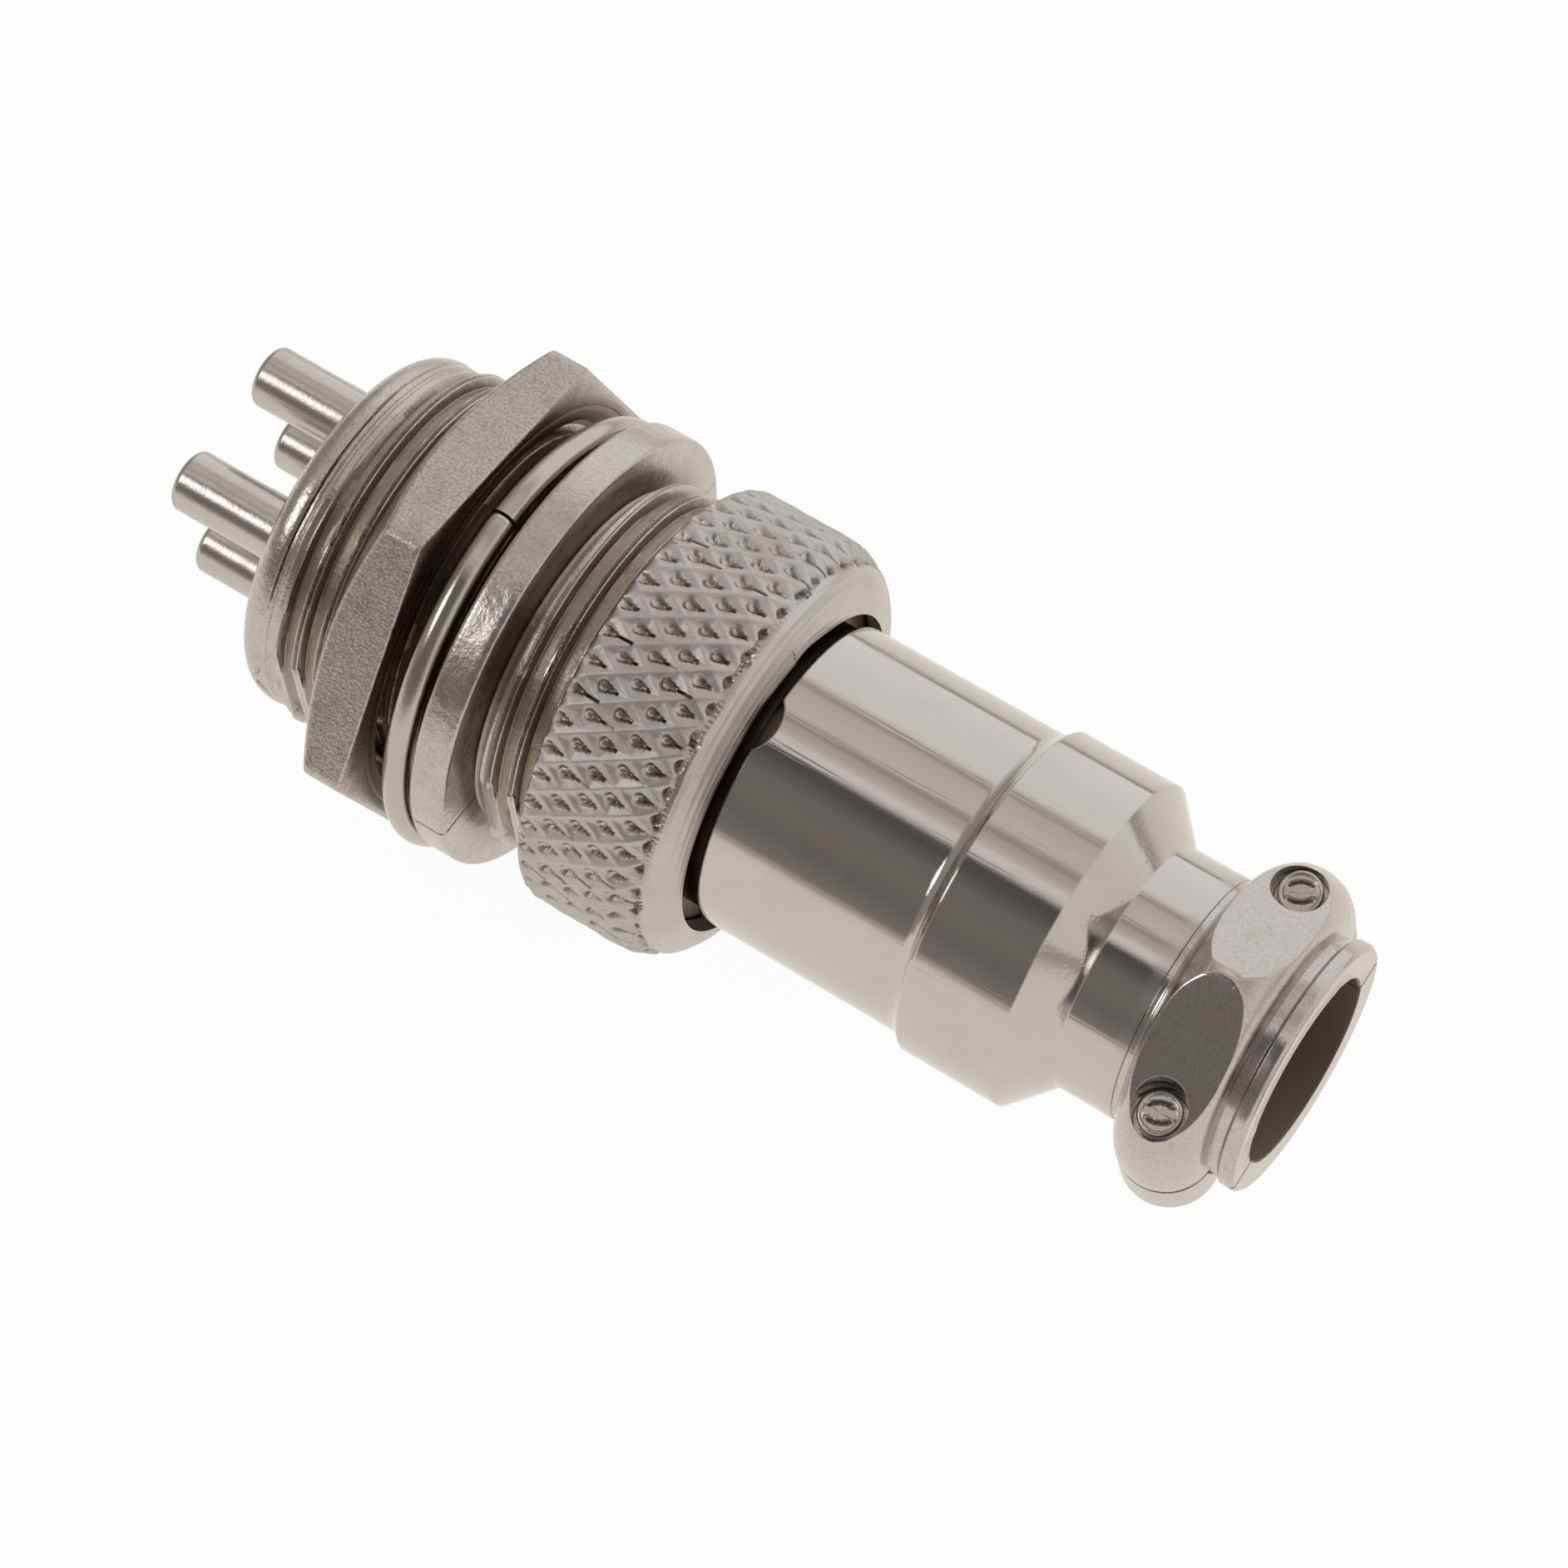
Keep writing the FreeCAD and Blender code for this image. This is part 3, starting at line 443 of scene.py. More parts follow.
flange = [(0.0, 8.0), (0.0, 9.3), (0.03, 9.41), (0.1, 9.47), (0.22, FLANGE_R)]
flange += [(x, FLANGE_R) for x in steps(0.3, 1.35, 0.15)]
flange += [(1.38, FLANGE_R), (1.5, 9.46), (1.57, 9.4), (FLANGE_FRONT, 9.3)]
flange += [(FLANGE_FRONT, r) for r in steps(9.2, 7.5, 0.2)]
flange += [(FLANGE_FRONT, 7.4), (1.63, 7.31), (1.7, 7.26), (1.8, 7.25), (2.1, 7.25)]
flange_x, flange_r = grid(flange, around)
theta = np.repeat(around[None, :], len(flange), axis=0)
# Painted shade on the front face, darker towards the root of the thread
flange_painted_shade = 0.5 * smooth(9.0, 7.6, flange_r) * (flange_x > 1.0)
# Parting line of the die, across the rim and down the front face
for side in (PARTING, PARTING + math.pi):
    near = np.exp(-(((theta - side + math.pi) % (2 * math.pi) - math.pi) / 0.0035) ** 2)
    flange_r = flange_r - 0.06 * near * (flange_r > 9.0) * (flange_x > 0.2)
    flange_x = flange_x - 0.06 * near * (flange_x > 1.55) * (flange_r > 7.6)
flange_r = flange_r + 0.02 * ripple(theta, 3.3, 9, 0.75) * (flange_r > 9.0)

front_x, front_r, front_film, front_satin = thread_grid(2.22, 8.8, phase=0.38, fade_in=0.4,
                                                        fade_out=0.02, around=around)
theta = np.repeat(around[None, :], len(front_x), axis=0)
front_r = cut_flats(front_r, theta)
mouth_x, mouth_r = grid([(8.82, THREAD_R), (9.0, THREAD_R), (SHELL_FRONT, THREAD_R - 0.4)], around)
mouth_r = cut_flats(mouth_r, np.repeat(around[None, :], 3, axis=0))

inside = [(x, MOUTH_BORE) for x in (SHELL_FRONT, 9.0, 8.42, 8.4, 1.0)]
inside += [(1.0, SHELL_BORE), (-8.8, SHELL_BORE), (-8.8, 5.8)]
inside_x, inside_r = grid(inside, around)
# Key inside the mouth, on the rows from 8.4 to 1.0
KEY_PLACE = math.radians(76.3)
from_key = (around - KEY_PLACE + math.pi) % (2 * math.pi) - math.pi
inside_r[3:5] -= np.where(np.abs(from_key) < 0.125, 0.68, 0.0)[None, :]
shell = skin("shell_casting", [(rim_x, rim_r, rim_film), (rear_x, rear_r, rear_tint_and_shade, rear_satin),
                               (flange_x, flange_r, flange_painted_shade),
                               (front_x, front_r, front_film, front_satin),
                               (mouth_x, mouth_r), (inside_x, inside_r)], around)
dress(shell, cast_plate)
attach(shell, "socket")
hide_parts("socket_shell")


# Coupling ring with its diamond knurl

def knurl(along, theta):
    """How deep the knurl is pressed at each point, and the shares of pit and of the painted shade at the
    pit's pointed end: broad ridges with a comet-shaped pit in each diamond, each pit a little different."""
    across = along / KNURL_LENGTH + theta * KNURL_ROUND / (2 * math.pi)
    other = along / KNURL_LENGTH - theta * KNURL_ROUND / (2 * math.pi)
    lane = np.floor(across)
    cross_lane = np.floor(other)
    first = across - lane
    second = other - cross_lane
    lane = lane % KNURL_ROUND
    cross_lane = (cross_lane + KNURL_ROUND * 4) % KNURL_ROUND
    luck = np.sin(lane * 12.99 + cross_lane * 78.23) * 43.7
    luck = luck - np.floor(luck)
    chance = np.sin(lane * 39.35 + cross_lane * 11.14) * 71.3
    chance = chance - np.floor(chance)
    # Place in the diamond, in millimetres along X and round the ring
    u = (first + second - 1) * KNURL_LENGTH / 2 + 0.1 * (luck - 0.5)
    v = (first - second) * KNURL_HALF + 0.08 * (chance - 0.5)
    near = np.minimum(1 - np.abs(2 * second - 1), (1 - np.abs(2 * first - 1)) * 0.85 + 0.15)
    hollow = np.clip(near / 0.6, 0, 1) * 0.4 + near * 0.35 + 0.1 * np.sin(9 * u + 40 * chance) * near
    # Ridges sag between their crossings
    hollow = hollow + 0.25 * (1 - np.abs(first - 0.5) - np.abs(second - 0.5))
    # The pit is blunt to the left of its widest place and runs out to a point on the right
    from_widest = u + 0.2
    head = np.sqrt((from_widest / PIT_BLUNT) ** 2 + (v / PIT_HALF) ** 2)
    width = np.clip(PIT_HALF * (1 - from_widest / PIT_TRAIL), 0.02, PIT_HALF)
    trail = np.abs(v) / width + 0.6 * np.clip(from_widest / PIT_TRAIL, 0, 1) ** 2
    comet = np.where(from_widest < 0, head, trail)
    pit = smooth(1.1, 0.3 + 0.3 * luck, comet)
    # Its floor falls from the blunt end to the point
    fall = np.clip(0.8 + 0.6 * u, 0.35, 1.0)
    return 0.5 * hollow + (0.62 + 0.3 * chance) * pit * fall, pit, pit * smooth(-0.3, 0.0, u)


around = angles(KNURL_ROUND * 17)
arc_centre = RING_R - RING_ROUND
ring = [(RING_START, 8.35), (RING_START, RING_R - RING_EDGE)]
for step in range(1, 6):
    turn = math.radians(18 * step)
    ring.append((RING_START + RING_EDGE - RING_EDGE * math.cos(turn),
                 RING_R - RING_EDGE + RING_EDGE * math.sin(turn)))
ring += [(x, RING_R) for x in steps(5.28, RING_LAND_END, 0.056)]
end_turn = math.acos((RING_HOLE - arc_centre) / RING_ROUND)
for step in range(0, 46):
    turn = end_turn * step / 45
    ring.append((RING_LAND_END + RING_ROUND * math.sin(turn), arc_centre + RING_ROUND * math.cos(turn)))
along = [0.0]
for before, after in zip(ring, ring[1:]):
    along.append(along[-1] + math.dist(before, after))
ring_x, ring_r = grid(ring, around)
along = np.repeat(np.array(along)[:, None], len(around), axis=1)
theta = np.repeat(around[None, :], len(ring), axis=0)
# The knurling tool ran off unevenly and tore the metal at the end of its track
edge = 10.22 + 0.07 * ripple(theta, 4.4, 22, 0.92)
on_track = smooth(4.75, 5.0, ring_x) * smooth(edge + 0.02, edge - 0.1, ring_x)
pressed, pit, pit_painted_shade = knurl(along, theta)
torn = np.clip(0.3 + ripple(theta * 7, 1.7, 16, 0.94) * 4, 0, 1)
torn = smooth(0.2, 0.0, np.abs(ring_x - edge)) * torn
pressed = KNURL_DEPTH * (pressed * on_track + 0.95 * torn)
slope = np.clip((ring_x - RING_LAND_END) / RING_ROUND, 0, 1)
# Soft turning lines on the shoulder and an uneven, slightly chipped edge at the hole
lines = 0.01 * np.sin(along * 2 * math.pi / 0.31 + 2 * np.sin(along * 3.1))
lines = lines * smooth(edge, edge + 0.2, ring_x)
to_hole = smooth(10.95, 11.19, ring_x)
chip = 0.2 * np.exp(-((theta - math.radians(6.0)) / 0.13) ** 2) + 0.05 * ripple(theta, 0.6, 9, 0.8)
# The ring hangs a little to one side on the tube
chip = chip - 0.1 * np.cos(theta - math.radians(58.0))
ring_r = ring_r - (pressed + lines) * np.sqrt(1 - slope ** 2) + to_hole * chip
ring_x = ring_x - (pressed + lines) * slope
# Painted shade in the pointed end of each pit on the track, and a darker tint where the metal tore
ring_shade_and_tear = np.clip(0.85 * pit_painted_shade * on_track + 0.65 * torn, 0, 1)
ring_satin = (0.4 + 0.6 * on_track) * (1 - pit * on_track) * (1 - torn)
hole = [(10.46, RING_HOLE), (10.45, 8.15), (9.6, 8.15), (9.6, THREAD_HOLE), (5.08, THREAD_HOLE)]
hole_x, hole_r = grid(hole, around)
# The walls of the hole are painted dark, as the shade in the gap round the tube
coupling = skin("knurled_ring", [(ring_x, ring_r, ring_shade_and_tear, ring_satin),
                                 (hole_x, hole_r, np.full_like(hole_x, 0.9))], around)
dress(coupling, knurled_plate)
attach(coupling, "ring")
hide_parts("coupling_ring")


# Hex nut with softened edges

around = angles(720)
# The blank is taken wider than the nut and then cut to the hexagon and the chamfer
blank_r = 12.0
nut = [(NUT_REAR, r) for r in (8.6, 8.75, 8.85)]
nut += [(NUT_REAR + inset, blank_r) for inset in (0.002, 0.01, 0.03)]
nut += [(x, blank_r) for x in steps(NUT_REAR + 0.06, NUT_FRONT - 0.2, 0.06)]
nut += [(x, blank_r) for x in steps(NUT_FRONT - 0.2, NUT_FRONT, 0.03)] + [(NUT_FRONT, blank_r)]
nut_x, nut_r = grid(nut, around)
theta = np.repeat(around[None, :], len(nut), axis=0)
side = (theta + math.pi / 6) % (math.pi / 3) - math.pi / 6
hexagon = NUT_FLAT / np.cos(side)
hexagon = soft_min(hexagon, np.full_like(hexagon, NUT_CORNER), 0.1)
chamfer = NUT_CHAMFER_R + (nut_x - NUT_REAR) / math.tan(NUT_CHAMFER)
outline = soft_min(hexagon, chamfer, 0.25)
to_front = np.clip((nut_x - (NUT_FRONT - NUT_EDGE)) / NUT_EDGE, 0, 1)
outline = outline - NUT_EDGE * (1 - np.sqrt(1 - to_front ** 2))
nut_r = np.minimum(nut_r, outline)
hole = [(NUT_FRONT, 9.25), (NUT_FRONT, 9.02), (NUT_FRONT - 0.03, 9.0), (NUT_FRONT, 8.97),
        (NUT_FRONT, 8.47), (NUT_FRONT - 0.5, THREAD_HOLE), (NUT_REAR + 0.3, THREAD_HOLE), (NUT_REAR, 8.3)]
hole_x, hole_r = grid(hole, around)
# Painted shade on the face towards the washer, darkest next to the hole
nut_face_painted_shade = 0.95 * (hole_x > NUT_FRONT - 0.1) * smooth(9.6, 9.02, hole_r)
nut_piece = skin("nut_blank", [(nut_x, nut_r), (hole_x, hole_r, nut_face_painted_shade)], around, sharp=50.0)
dress(nut_piece, nut_plate)
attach(nut_piece, "nut")
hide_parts("hex_nut")


# Lock washer: a turn of round spring wire, cut through with a burr at the cut

def close_rings(name, points, sharp):
    """A closed mesh from rings of points that follow each other, with a cap at each end."""
    rings, count, _ = points.shape
    mesh = bpy.data.meshes.new(name)
    ring_index = np.arange(rings - 1)[:, None] * count
    place = np.arange(count)[None, :]
    after = (place + 1) % count
    faces = np.stack([ring_index + place, ring_index + after, ring_index + count + after,
                      ring_index + count + place], axis=-1).reshape(-1, 4).tolist()
    faces.append(list(range(count)))
    faces.append(list(range((rings - 1) * count, rings * count)))
    mesh.from_pydata((points.reshape(-1, 3) * MM).tolist(), [], faces)
    return finish_mesh(name, mesh, sharp)


def sweep(name, points, material, body, node, sharp=35.0):
    """A piece from rings of points, dressed and riding in place of its CAD node."""
    piece = close_rings(name, points, sharp)
    dress(piece, material)
    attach(piece, body)
    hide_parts(node)
    return piece


WASHER_TURN = math.radians(-11.0)
WASHER_SAG = math.radians(-122.0)
WASHER_HANG = 0.3
WIRE_HALF_LONG = 0.55
WIRE_HALF_HIGH = 0.52
cut_half = 0.005
turns = np.linspace(cut_half, 2 * math.pi - cut_half, 400)
section = np.linspace(0, 2 * math.pi, 28, endpoint=False)
half_long = WIRE_HALF_LONG * np.cos(section)
half_high = WIRE_HALF_HIGH * np.sin(section)
from_cut = np.minimum(turns, 2 * math.pi - turns)
# The cutter left one end a little proud and the other rounded off
proud = 1 + 0.05 * np.exp(-(turns / 0.03) ** 2) - 0.14 * np.exp(-((2 * math.pi - turns) / 0.012) ** 2)
turned_to = turns + WASHER_TURN
stand_off = 0.22 * np.exp(-(from_cut / 0.9) ** 2)
wire_x = WASHER_X - stand_off[:, None] + proud[:, None] * half_long[None, :]
wire_r = WASHER_R + proud[:, None] * half_high[None, :]
# It hangs a little off the axis
wire_y = wire_r * np.sin(turned_to)[:, None] + WASHER_HANG * math.sin(WASHER_SAG)
wire_z = wire_r * np.cos(turned_to)[:, None] + WASHER_HANG * math.cos(WASHER_SAG)
sweep("washer_wire", np.stack([wire_x, wire_y, wire_z], axis=-1), wire_plate, "washer",
      "lock_washer")


# Clamp screws: a raised oval in the head, with a groove on each side of it for the driver

across_tail = Vector((0, math.cos(TAIL_ROLL), math.sin(TAIL_ROLL)))
out_of_tail = Vector((0, -math.sin(TAIL_ROLL), math.cos(TAIL_ROLL)))
# Heights are over the tail's split
SEAT_UP = 2.6
SCREW_TOP = 3.65
SHANK_R = 0.68
HEAD_R = 0.87
HEAD_EDGE = 0.1
OVAL_LONG = 0.58
OVAL_SHORT = 0.4


def round_screw(side, r, up, turns):
    """Places round a clamp screw's axis, from radii and heights over the tail's split."""
    middle = Vector((CLAMP_X, 0, 0)) + across_tail * SCREW_ACROSS * side
    return np.stack([middle[0] + r * np.cos(turns),
                     middle[1] + r * np.sin(turns) * across_tail[1] + up * out_of_tail[1],
                     middle[2] + r * np.sin(turns) * across_tail[2] + up * out_of_tail[2]], axis=-1)


turns = np.linspace(0, 2 * math.pi, 96, endpoint=False)
for side, side_name in ((1, "left"), (-1, "right")):
    profile = [(SHANK_R, -2.35), (SHANK_R, 2.58), (0.72, SEAT_UP), (0.83, SEAT_UP), (HEAD_R, 2.68),
               (HEAD_R, 3.5)]
    for step in range(0, 6):
        turn = math.radians(18 * step)
        profile.append((HEAD_R - HEAD_EDGE + HEAD_EDGE * math.cos(turn),
                        SCREW_TOP - HEAD_EDGE + HEAD_EDGE * math.sin(turn)))
    profile += [(r, SCREW_TOP) for r in steps(0.75, 0.03, 0.03)]
    profile = np.array(profile)
    r = np.repeat(profile[:, :1], len(turns), axis=1)
    up = np.repeat(profile[:, 1:], len(turns), axis=1)
    on_top = profile[:, 1:] > SCREW_TOP - 0.01
    lean = math.radians(28 if side > 0 else 22)
    long_way = r * np.cos(turns - lean)
    short_way = r * np.sin(turns - lean)
    oval = np.sqrt((long_way / OVAL_LONG) ** 2 + (short_way / OVAL_SHORT) ** 2)
    beside = smooth(0.3, 0.7, np.abs(np.sin(turns - lean)))
    groove = np.exp(-((oval - 1.0) / 0.14) ** 2) * beside * on_top
    up = up - 0.3 * groove + 0.01 * ripple(turns * 2 + side, 1.3, 8, 0.8) * (profile[:, 1:] > 3.6)
    up = up - 0.06 * smooth(1.05, 1.3, oval) * smooth(0.77, 0.68, r) * on_top
    sweep("screw_" + side_name, round_screw(side, r, up, turns), screw_plate, "screw_" + side_name,
          "clamp_screw_" + side_name)


# Clamp saddle: half a turned bulge with two flattened facets, each with a counterbored screw hole

NECK_R = 5.22
END_NECK_R = 5.08
LIP_R = 5.32
BULGE_R = 6.95
BULGE_ROUND = 1.95
FACET_PLACE = 6.05
FACET_TURN = math.radians(30.0)
HOLE_R = 0.78
COUNTERBORE_R = 1.08
BORE_R = 3.9
SADDLE_START = 29.37
SADDLE_END = 34.7
SPLIT = 0.3


def saddle_radius(x):
    """Outer radius along the saddle, with the casting's soft fillets."""
    reach = np.clip(1 - ((x - CLAMP_X) / BULGE_ROUND) ** 2, 0, 1)
    bulge = np.where(reach > 0, BULGE_R - BULGE_ROUND + BULGE_ROUND * np.sqrt(reach), 0)
    neck = np.where(x < CLAMP_X, NECK_R, END_NECK_R)
    rise = LIP_R - 0.32 * smooth(34.12, 33.95, x)
    lip = np.where(x > 33.2, rise - 0.2 * smooth(34.45, SADDLE_END, x) ** 2, 0)
    return -soft_min(-np.maximum(bulge, lip), -neck, 0.35)


def tail_points(x, r, turn):
    """Places in the connector's frame, from an angle about the axis out of the tail's split."""
    across = r * np.sin(turn)
    up = r * np.cos(turn)
    return np.stack([x, across * across_tail[1] + up * out_of_tail[1],
                     across * across_tail[2] + up * out_of_tail[2]], axis=-1)


rows = [SADDLE_START, 29.4, 29.45] + steps(29.5, 34.62, 0.05) + [34.63, 34.66, 34.69, SADDLE_END]
rows = np.array(rows)
share = np.linspace(-1, 1, 260)
outer_x = np.repeat(rows[:, None], len(share), axis=1)
plain = saddle_radius(outer_x)
outer_turn = share[None, :] * (math.pi / 2 + np.arcsin(SPLIT / plain))
lumps = np.sin(outer_x * 5.1 + 2 * np.sin(outer_turn * 4)) * np.sin(outer_turn * 7 + outer_x * 1.3)
outer_r = plain + 0.012 * lumps
for facet in (-1, 1):
    facing = np.cos(outer_turn - facet * FACET_TURN)
    flat = np.where(facing > 0.5, FACET_PLACE / np.maximum(facing, 0.5), 99.0)
    outer_r = soft_min(outer_r, flat, 0.05)
# A small sunk mark of the cutter where the facets nearly meet
from_mark = np.abs(outer_x - CLAMP_X + 0.12)
mark = smooth(0.68, 0.56, from_mark) * smooth(0.3, 0.22, np.abs(outer_r * np.sin(outer_turn)))
outer_r = outer_r - 0.035 * mark
outer_r = np.minimum(outer_r, np.where(np.abs(share) > 0.97, plain, 99.0))
inner_rows = np.array([SADDLE_END, 34.66] + steps(34.6, SADDLE_START, 0.4) + [SADDLE_START])
inner_x = np.repeat(inner_rows[:, None], len(share), axis=1)
# The mouth's edge is rough where the casting was broken from its runner
broken = 1 + 0.5 * ripple(share[None, :] * 3, 2.2, 12, 0.85)
inner_r = BORE_R + 0.16 * smooth(34.62, SADDLE_END, inner_x) * broken
inner_turn = share[None, :] * (math.pi / 2 + np.arcsin(SPLIT / inner_r))
loop = np.concatenate([tail_points(outer_x, outer_r, outer_turn),
                       tail_points(inner_x, inner_r, inner_turn)])
count = len(loop)
saddle_mesh = bpy.data.meshes.new("saddle_casting")
row = np.arange(count)[:, None]
column = np.arange(len(share) - 1)[None, :]
next_row = (row + 1) % count
width = len(share)
saddle_faces = np.stack([row * width + column, row * width + column + 1,
                         next_row * width + column + 1, next_row * width + column], axis=-1)
saddle_faces = saddle_faces.reshape(-1, 4).tolist()
saddle_faces.append([index * width for index in range(count)])
saddle_faces.append([index * width + width - 1 for index in range(count)])
saddle_mesh.from_pydata((loop.reshape(-1, 3) * MM).tolist(), [], saddle_faces)
saddle = finish_mesh("saddle_casting", saddle_mesh)

cutters = []
turns = np.linspace(0, 2 * math.pi, 72, endpoint=False)
for side in (-1, 1):
    bore_rows = [(HOLE_R, -3.0), (HOLE_R, SEAT_UP), (COUNTERBORE_R, SEAT_UP), (COUNTERBORE_R, 4.2),
                 (1.1, 4.4), (1.14, 9.0)]
    r = np.array([row[0] for row in bore_rows])[:, None]
    r = r + 0.02 * ripple(turns, 1.1 + side, 7, 0.8)[None, :] * (r > 1.0)
    up = np.repeat(np.array([row[1] for row in bore_rows])[:, None], len(turns), axis=1)
    cutters.append(close_rings("screw_cutter", round_screw(side, r, up, turns), 35.0))
for cutter in cutters:
    cut = saddle.modifiers.new("counterbore", "BOOLEAN")
    cut.object = cutter
    cut.solver = "EXACT"
depsgraph = bpy.context.evaluated_depsgraph_get()
bored = bpy.data.meshes.new_from_object(saddle.evaluated_get(depsgraph))
bpy.data.objects.remove(saddle)
for cutter in cutters:
    bpy.data.objects.remove(cutter)
saddle = finish_mesh("saddle_casting", bored)
dress(saddle, clamp_plate)
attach(saddle, "saddle")
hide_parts("clamp_saddle")


# CAD pieces that keep their shape

FINISHES = {
    "socket_insert": phenolic,
    "plug_insert": phenolic,
    "plug_barrel": barrel_plate_painted_dark,
    "tail_shell": polished,
}
for number in range(1, 5):
    FINISHES["socket_pin_%d" % number] = silvered
    FINISHES["plug_contact_%d" % number] = silvered
for node, material in FINISHES.items():
    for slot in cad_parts[node].material_slots:
        slot.material = material


# Studio: a white sweep behind and below, a dark room on the camera's side, and one round lamp

# Square to the connector's axis: towards the camera, and up when the connector lies level in view
TOWARDS = Vector((0.0, -0.5299, 0.8480))
UPWARDS = Vector((0.0, 0.8480, 0.5299))
# The room's colour by the angle about that axis, from TOWARDS to UPWARDS
ROOM = [
    (-180, "FFFFFF"), (-100, "FFFBF4"), (-66, "E6DFD6"), (-61, "A09A94"), (-56, "8C8883"),
    (-40, "7C7874"), (-24, "848078"), (-8, "7E7B78"), (3, "626061"), (9.5, "5E5C5C"), (12.5, "C4C0BD"),
    (15, "E8E5E2"), (19, "F2EFEC"), (22, "DED9D4"), (26, "CBC5BE"), (29.5, "C8C2BA"), (32, "A8A29B"),
    (34, "B4AEA7"), (38, "DED9D1"), (42, "DFDAD2"), (50, "D8D3CC"), (57, "D4CFC8"), (59.5, "ACA7A2"),
    (62, "C4BFBA"), (65, "E8E5E2"), (68, "F8F6F3"), (90, "F9F8F7"), (120, "FFFFFF"), (180, "FFFFFF"),
]
world = bpy.data.worlds.new("studio")
scene.world = world
world.use_nodes = True
sky = world.node_tree
sky.nodes.clear()
looking = add(sky, "ShaderNodeTexCoord").outputs["Generated"]
facing = []
for direction in (TOWARDS, UPWARDS, Vector((1, 0, 0))):
    dot = add(sky, "ShaderNodeVectorMath", {0: looking}, operation="DOT_PRODUCT")
    dot.inputs[1].default_value = direction
    facing.append(dot.outputs["Value"])
turned = add(sky, "ShaderNodeMath", {0: facing[1], 1: facing[0]}, operation="ARCTAN2")
share = add(sky, "ShaderNodeMapRange", {"Value": turned.outputs[0]}, From_Min=-math.pi,
            From_Max=math.pi)
ramp = add(sky, "ShaderNodeValToRGB", {"Fac": share.outputs[0]})
stops = ramp.color_ramp.elements
stops[0].position = 0.0
stops[1].position = 1.0
for degrees, code in ROOM[1:-1]:
    stops.new((degrees + 180) / 360)
for stop, (degrees, code) in zip(stops, ROOM):
    stop.color = linear(code)
# Both ends of the room, by the share of X in the direction: bright behind the cable end, darker
# behind the solder cups
seen = ramp.outputs["Color"]
for near, far, code in ((0.55, 0.92, "E9E5E0"), (-0.45, -0.85, "A29D98")):
    to_end = add(sky, "ShaderNodeMapRange", {"Value": facing[2]}, interpolation_type="SMOOTHSTEP",
                 From_Min=near, From_Max=far)
    room = add(sky, "ShaderNodeMix", {"Factor": to_end.outputs[0], "A": seen}, data_type="RGBA",
               B=linear(code))
    seen = room.outputs["Result"]
camera_ray = add(sky, "ShaderNodeLightPath").outputs["Is Camera Ray"]
shown = add(sky, "ShaderNodeMix", {"Factor": camera_ray, "A": seen}, data_type="RGBA", B=(1, 1, 1, 1))
background = add(sky, "ShaderNodeBackground", {"Color": shown.outputs["Result"]}, Strength=1.0)
add(sky, "ShaderNodeOutputWorld", {"Surface": background.outputs[0]})

# The connector rests on its lock washer and its coupling ring, so the floor leans a little along X
WASHER_LOW = -9.7
RING_LOW = -9.16
FLOOR_REACH = 3.0
lean = (RING_LOW - WASHER_LOW) / (RING_LAND_END - WASHER_X)
floor_mesh = bpy.data.meshes.new("floor")
floor_corners = []
for x, y in ((-1, -1), (1, -1), (1, 1), (-1, 1)):
    height = (WASHER_LOW - WASHER_X * lean) * MM + x * FLOOR_REACH * lean
    floor_corners.append((x * FLOOR_REACH, y * FLOOR_REACH, height))
floor_mesh.from_pydata(floor_corners, [], [(0, 1, 2, 3)])
floor = bpy.data.objects.new("floor", floor_mesh)
scene.collection.objects.link(floor)
paper = bpy.data.materials.new("white_paper_sweep")
paper.use_nodes = True
paper_tree = paper.node_tree
paper_tree.nodes.clear()
rays = add(paper_tree, "ShaderNodeLightPath")
matt = add(paper_tree, "ShaderNodeBsdfDiffuse")
glow_colour = add(paper_tree, "ShaderNodeMix", {"Factor": rays.outputs["Is Camera Ray"]},
                  data_type="RGBA", A=linear("FBF5EC"), B=(1, 1, 1, 1))
glow = add(paper_tree, "ShaderNodeEmission", {"Color": glow_colour.outputs["Result"]}, Strength=1.0)
# Seen in the metal, the sweep is painted darker away from the connector: a painted fall-off of its light
floor_place = add(paper_tree, "ShaderNodeTexCoord").outputs["Object"]
far = add(paper_tree, "ShaderNodeVectorMath", {0: floor_place}, operation="LENGTH")
far_share = add(paper_tree, "ShaderNodeMapRange", {"Value": far.outputs["Value"]},
                interpolation_type="SMOOTHSTEP", From_Min=0.015, From_Max=0.25)
painted_falloff = add(paper_tree, "ShaderNodeMath", {0: rays.outputs["Is Glossy Ray"], 1: far_share.outputs[0]},
             operation="MULTIPLY")
matt_colour = add(paper_tree, "ShaderNodeMix", {"Factor": painted_falloff.outputs[0]}, data_type="RGBA",
                  A=linear("F8F6F2"), B=linear("8A857E"))
paper_tree.links.new(matt_colour.outputs["Result"], matt.inputs["Color"])
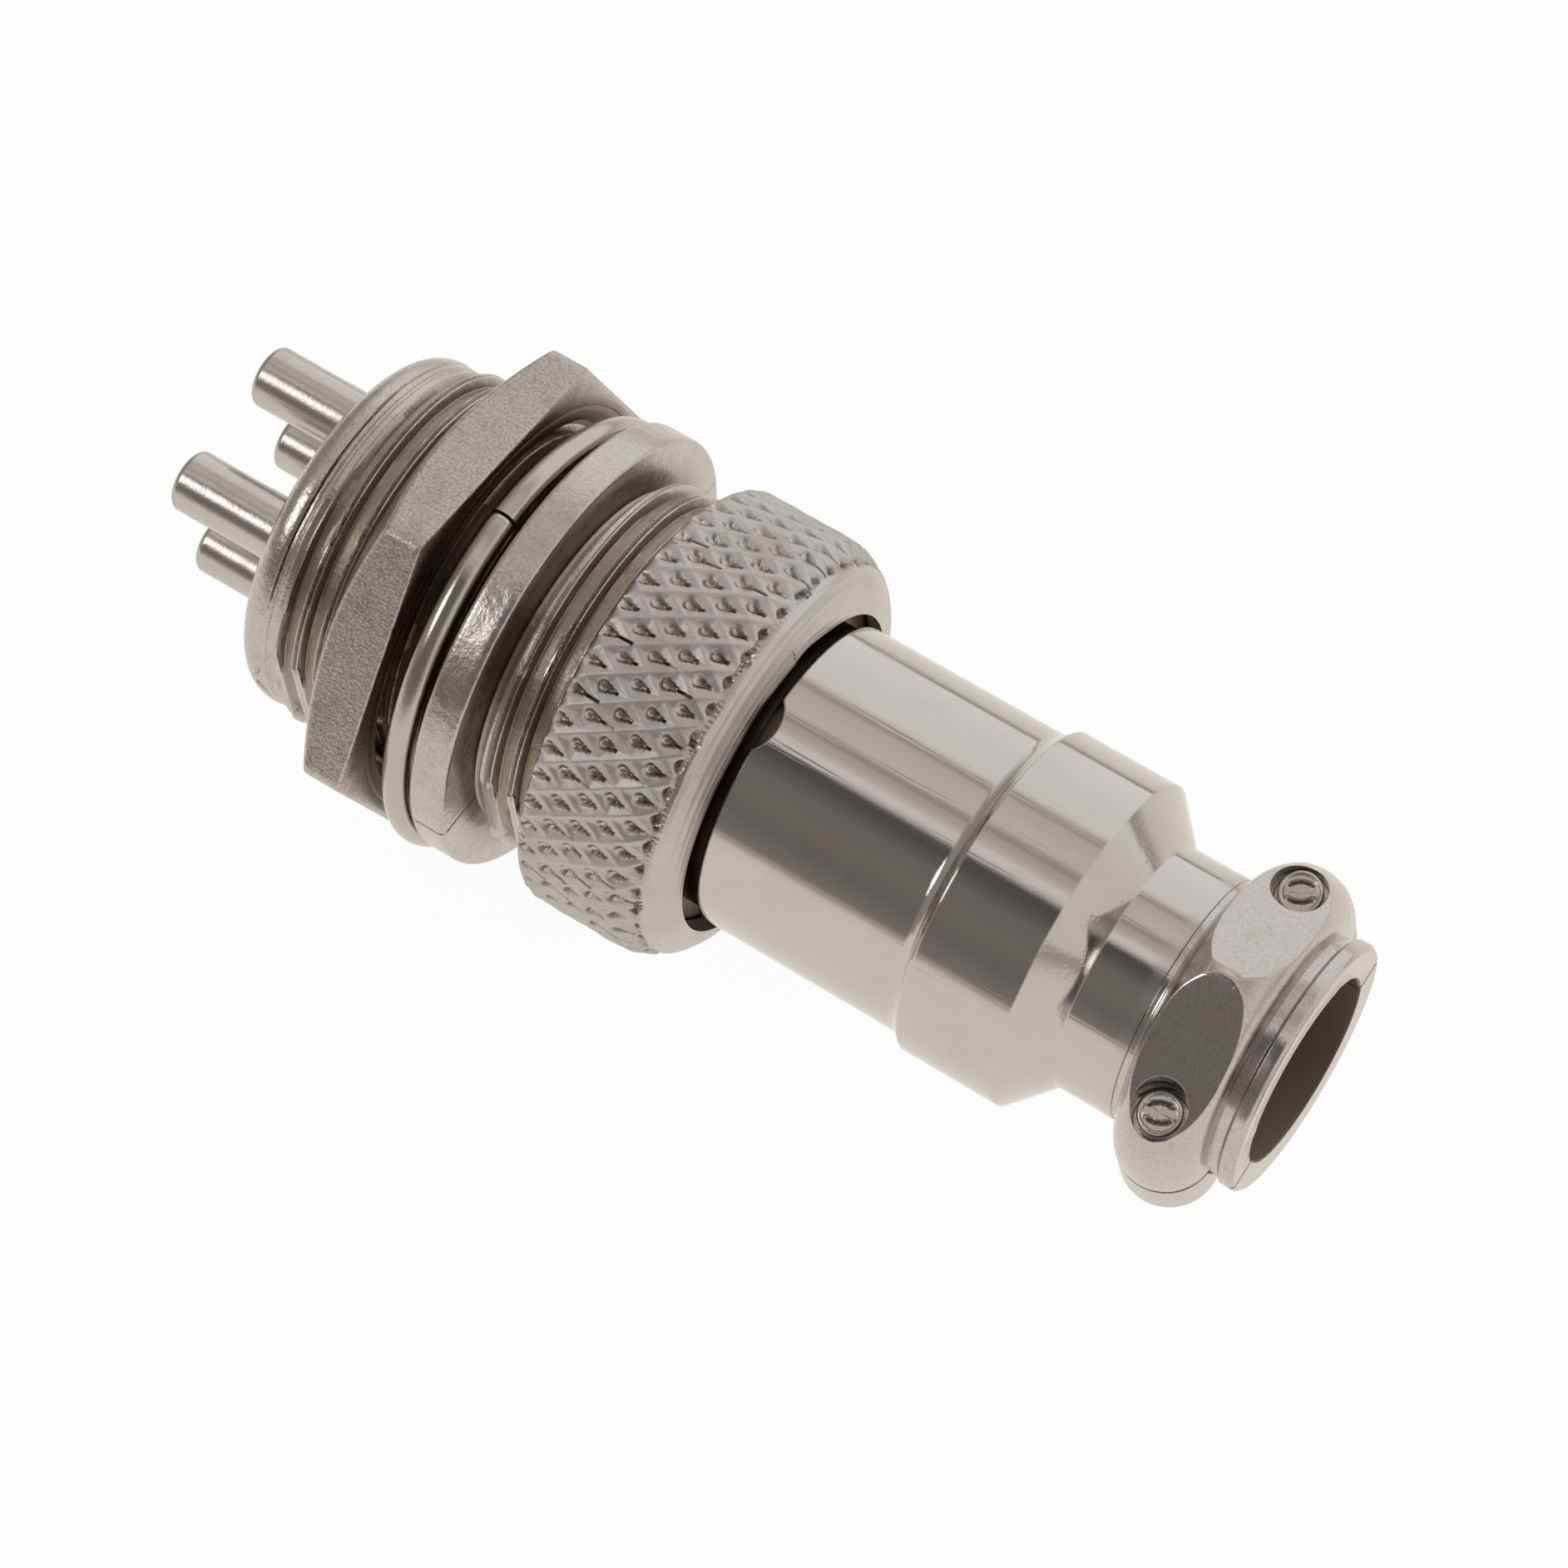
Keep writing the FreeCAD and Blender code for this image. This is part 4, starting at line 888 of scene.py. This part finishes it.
# How much of the sweep glows by itself: most of it to the camera, less in metal and far away
in_metal = add(paper_tree, "ShaderNodeMath", {0: rays.outputs["Is Glossy Ray"]}, operation="MULTIPLY")
in_metal.inputs[1].default_value = 0.9
less = add(paper_tree, "ShaderNodeMath", {0: painted_falloff.outputs[0], 2: in_metal.outputs[0]},
           operation="MULTIPLY_ADD")
less.inputs[1].default_value = -0.5
to_camera = add(paper_tree, "ShaderNodeMath", {0: rays.outputs["Is Camera Ray"]}, operation="MULTIPLY")
to_camera.inputs[1].default_value = 0.955
amount = add(paper_tree, "ShaderNodeMath", {0: less.outputs[0], 1: to_camera.outputs[0]})
blend = add(paper_tree, "ShaderNodeMixShader",
            {0: amount.outputs[0], 1: matt.outputs[0], 2: glow.outputs[0]})
add(paper_tree, "ShaderNodeOutputMaterial", {"Surface": blend.outputs[0]})
dress(floor, paper)


# A round lamp, 260 mm wide, which faces the connector's middle from 600 mm away
key_angle = math.radians(-12)
key_side = TOWARDS * math.cos(key_angle) + UPWARDS * math.sin(key_angle)
key_direction = key_side * 0.88 + Vector((-0.58, 0, 0))
key_light = bpy.data.lights.new("key_lamp", "AREA")
key_light.shape = "DISK"
key_light.size = 0.26
key_light.energy = 0.45
key_lamp = bpy.data.objects.new("key_lamp", key_light)
scene.collection.objects.link(key_lamp)
key_lamp.location = Vector((9.0 * MM, 0, 0)) + key_direction.normalized() * 0.6
key_lamp.rotation_euler = key_direction.to_track_quat("Z", "Y").to_euler()


# Camera at the photograph's angle

LOOK_AT_X = 11.37
CAMERA_AWAY = 206.45
CAMERA_DROP = 0.4516
# Fitted with the picture turned by 28 degrees, so that the connector lay level in it
turned_by = math.radians(28.0)
level_roll = math.radians(1.95)
tilt = math.radians(16.5)
roll = level_roll + turned_by
along_x = Vector((1, 0, 0))
back = along_x * math.sin(tilt) + TOWARDS * math.cos(tilt)
level = along_x * math.cos(tilt) - TOWARDS * math.sin(tilt)
right = level * math.cos(roll) + UPWARDS * math.sin(roll)
above = UPWARDS * math.cos(roll) - level * math.sin(roll)
level_above = UPWARDS * math.cos(level_roll) - level * math.sin(level_roll)
spot = Vector((LOOK_AT_X, 0, 0)) + back * CAMERA_AWAY - level_above * CAMERA_DROP
camera_data = bpy.data.cameras.new("camera")
camera_data.lens = 122.2
camera_data.sensor_width = 36.0
camera_data.clip_start = 0.01
camera = bpy.data.objects.new("camera", camera_data)
scene.collection.objects.link(camera)
camera.matrix_world = Matrix((
    (right.x, above.x, back.x, spot.x * MM),
    (right.y, above.y, back.y, spot.y * MM),
    (right.z, above.z, back.z, spot.z * MM),
    (0, 0, 0, 1),
))
scene.camera = camera
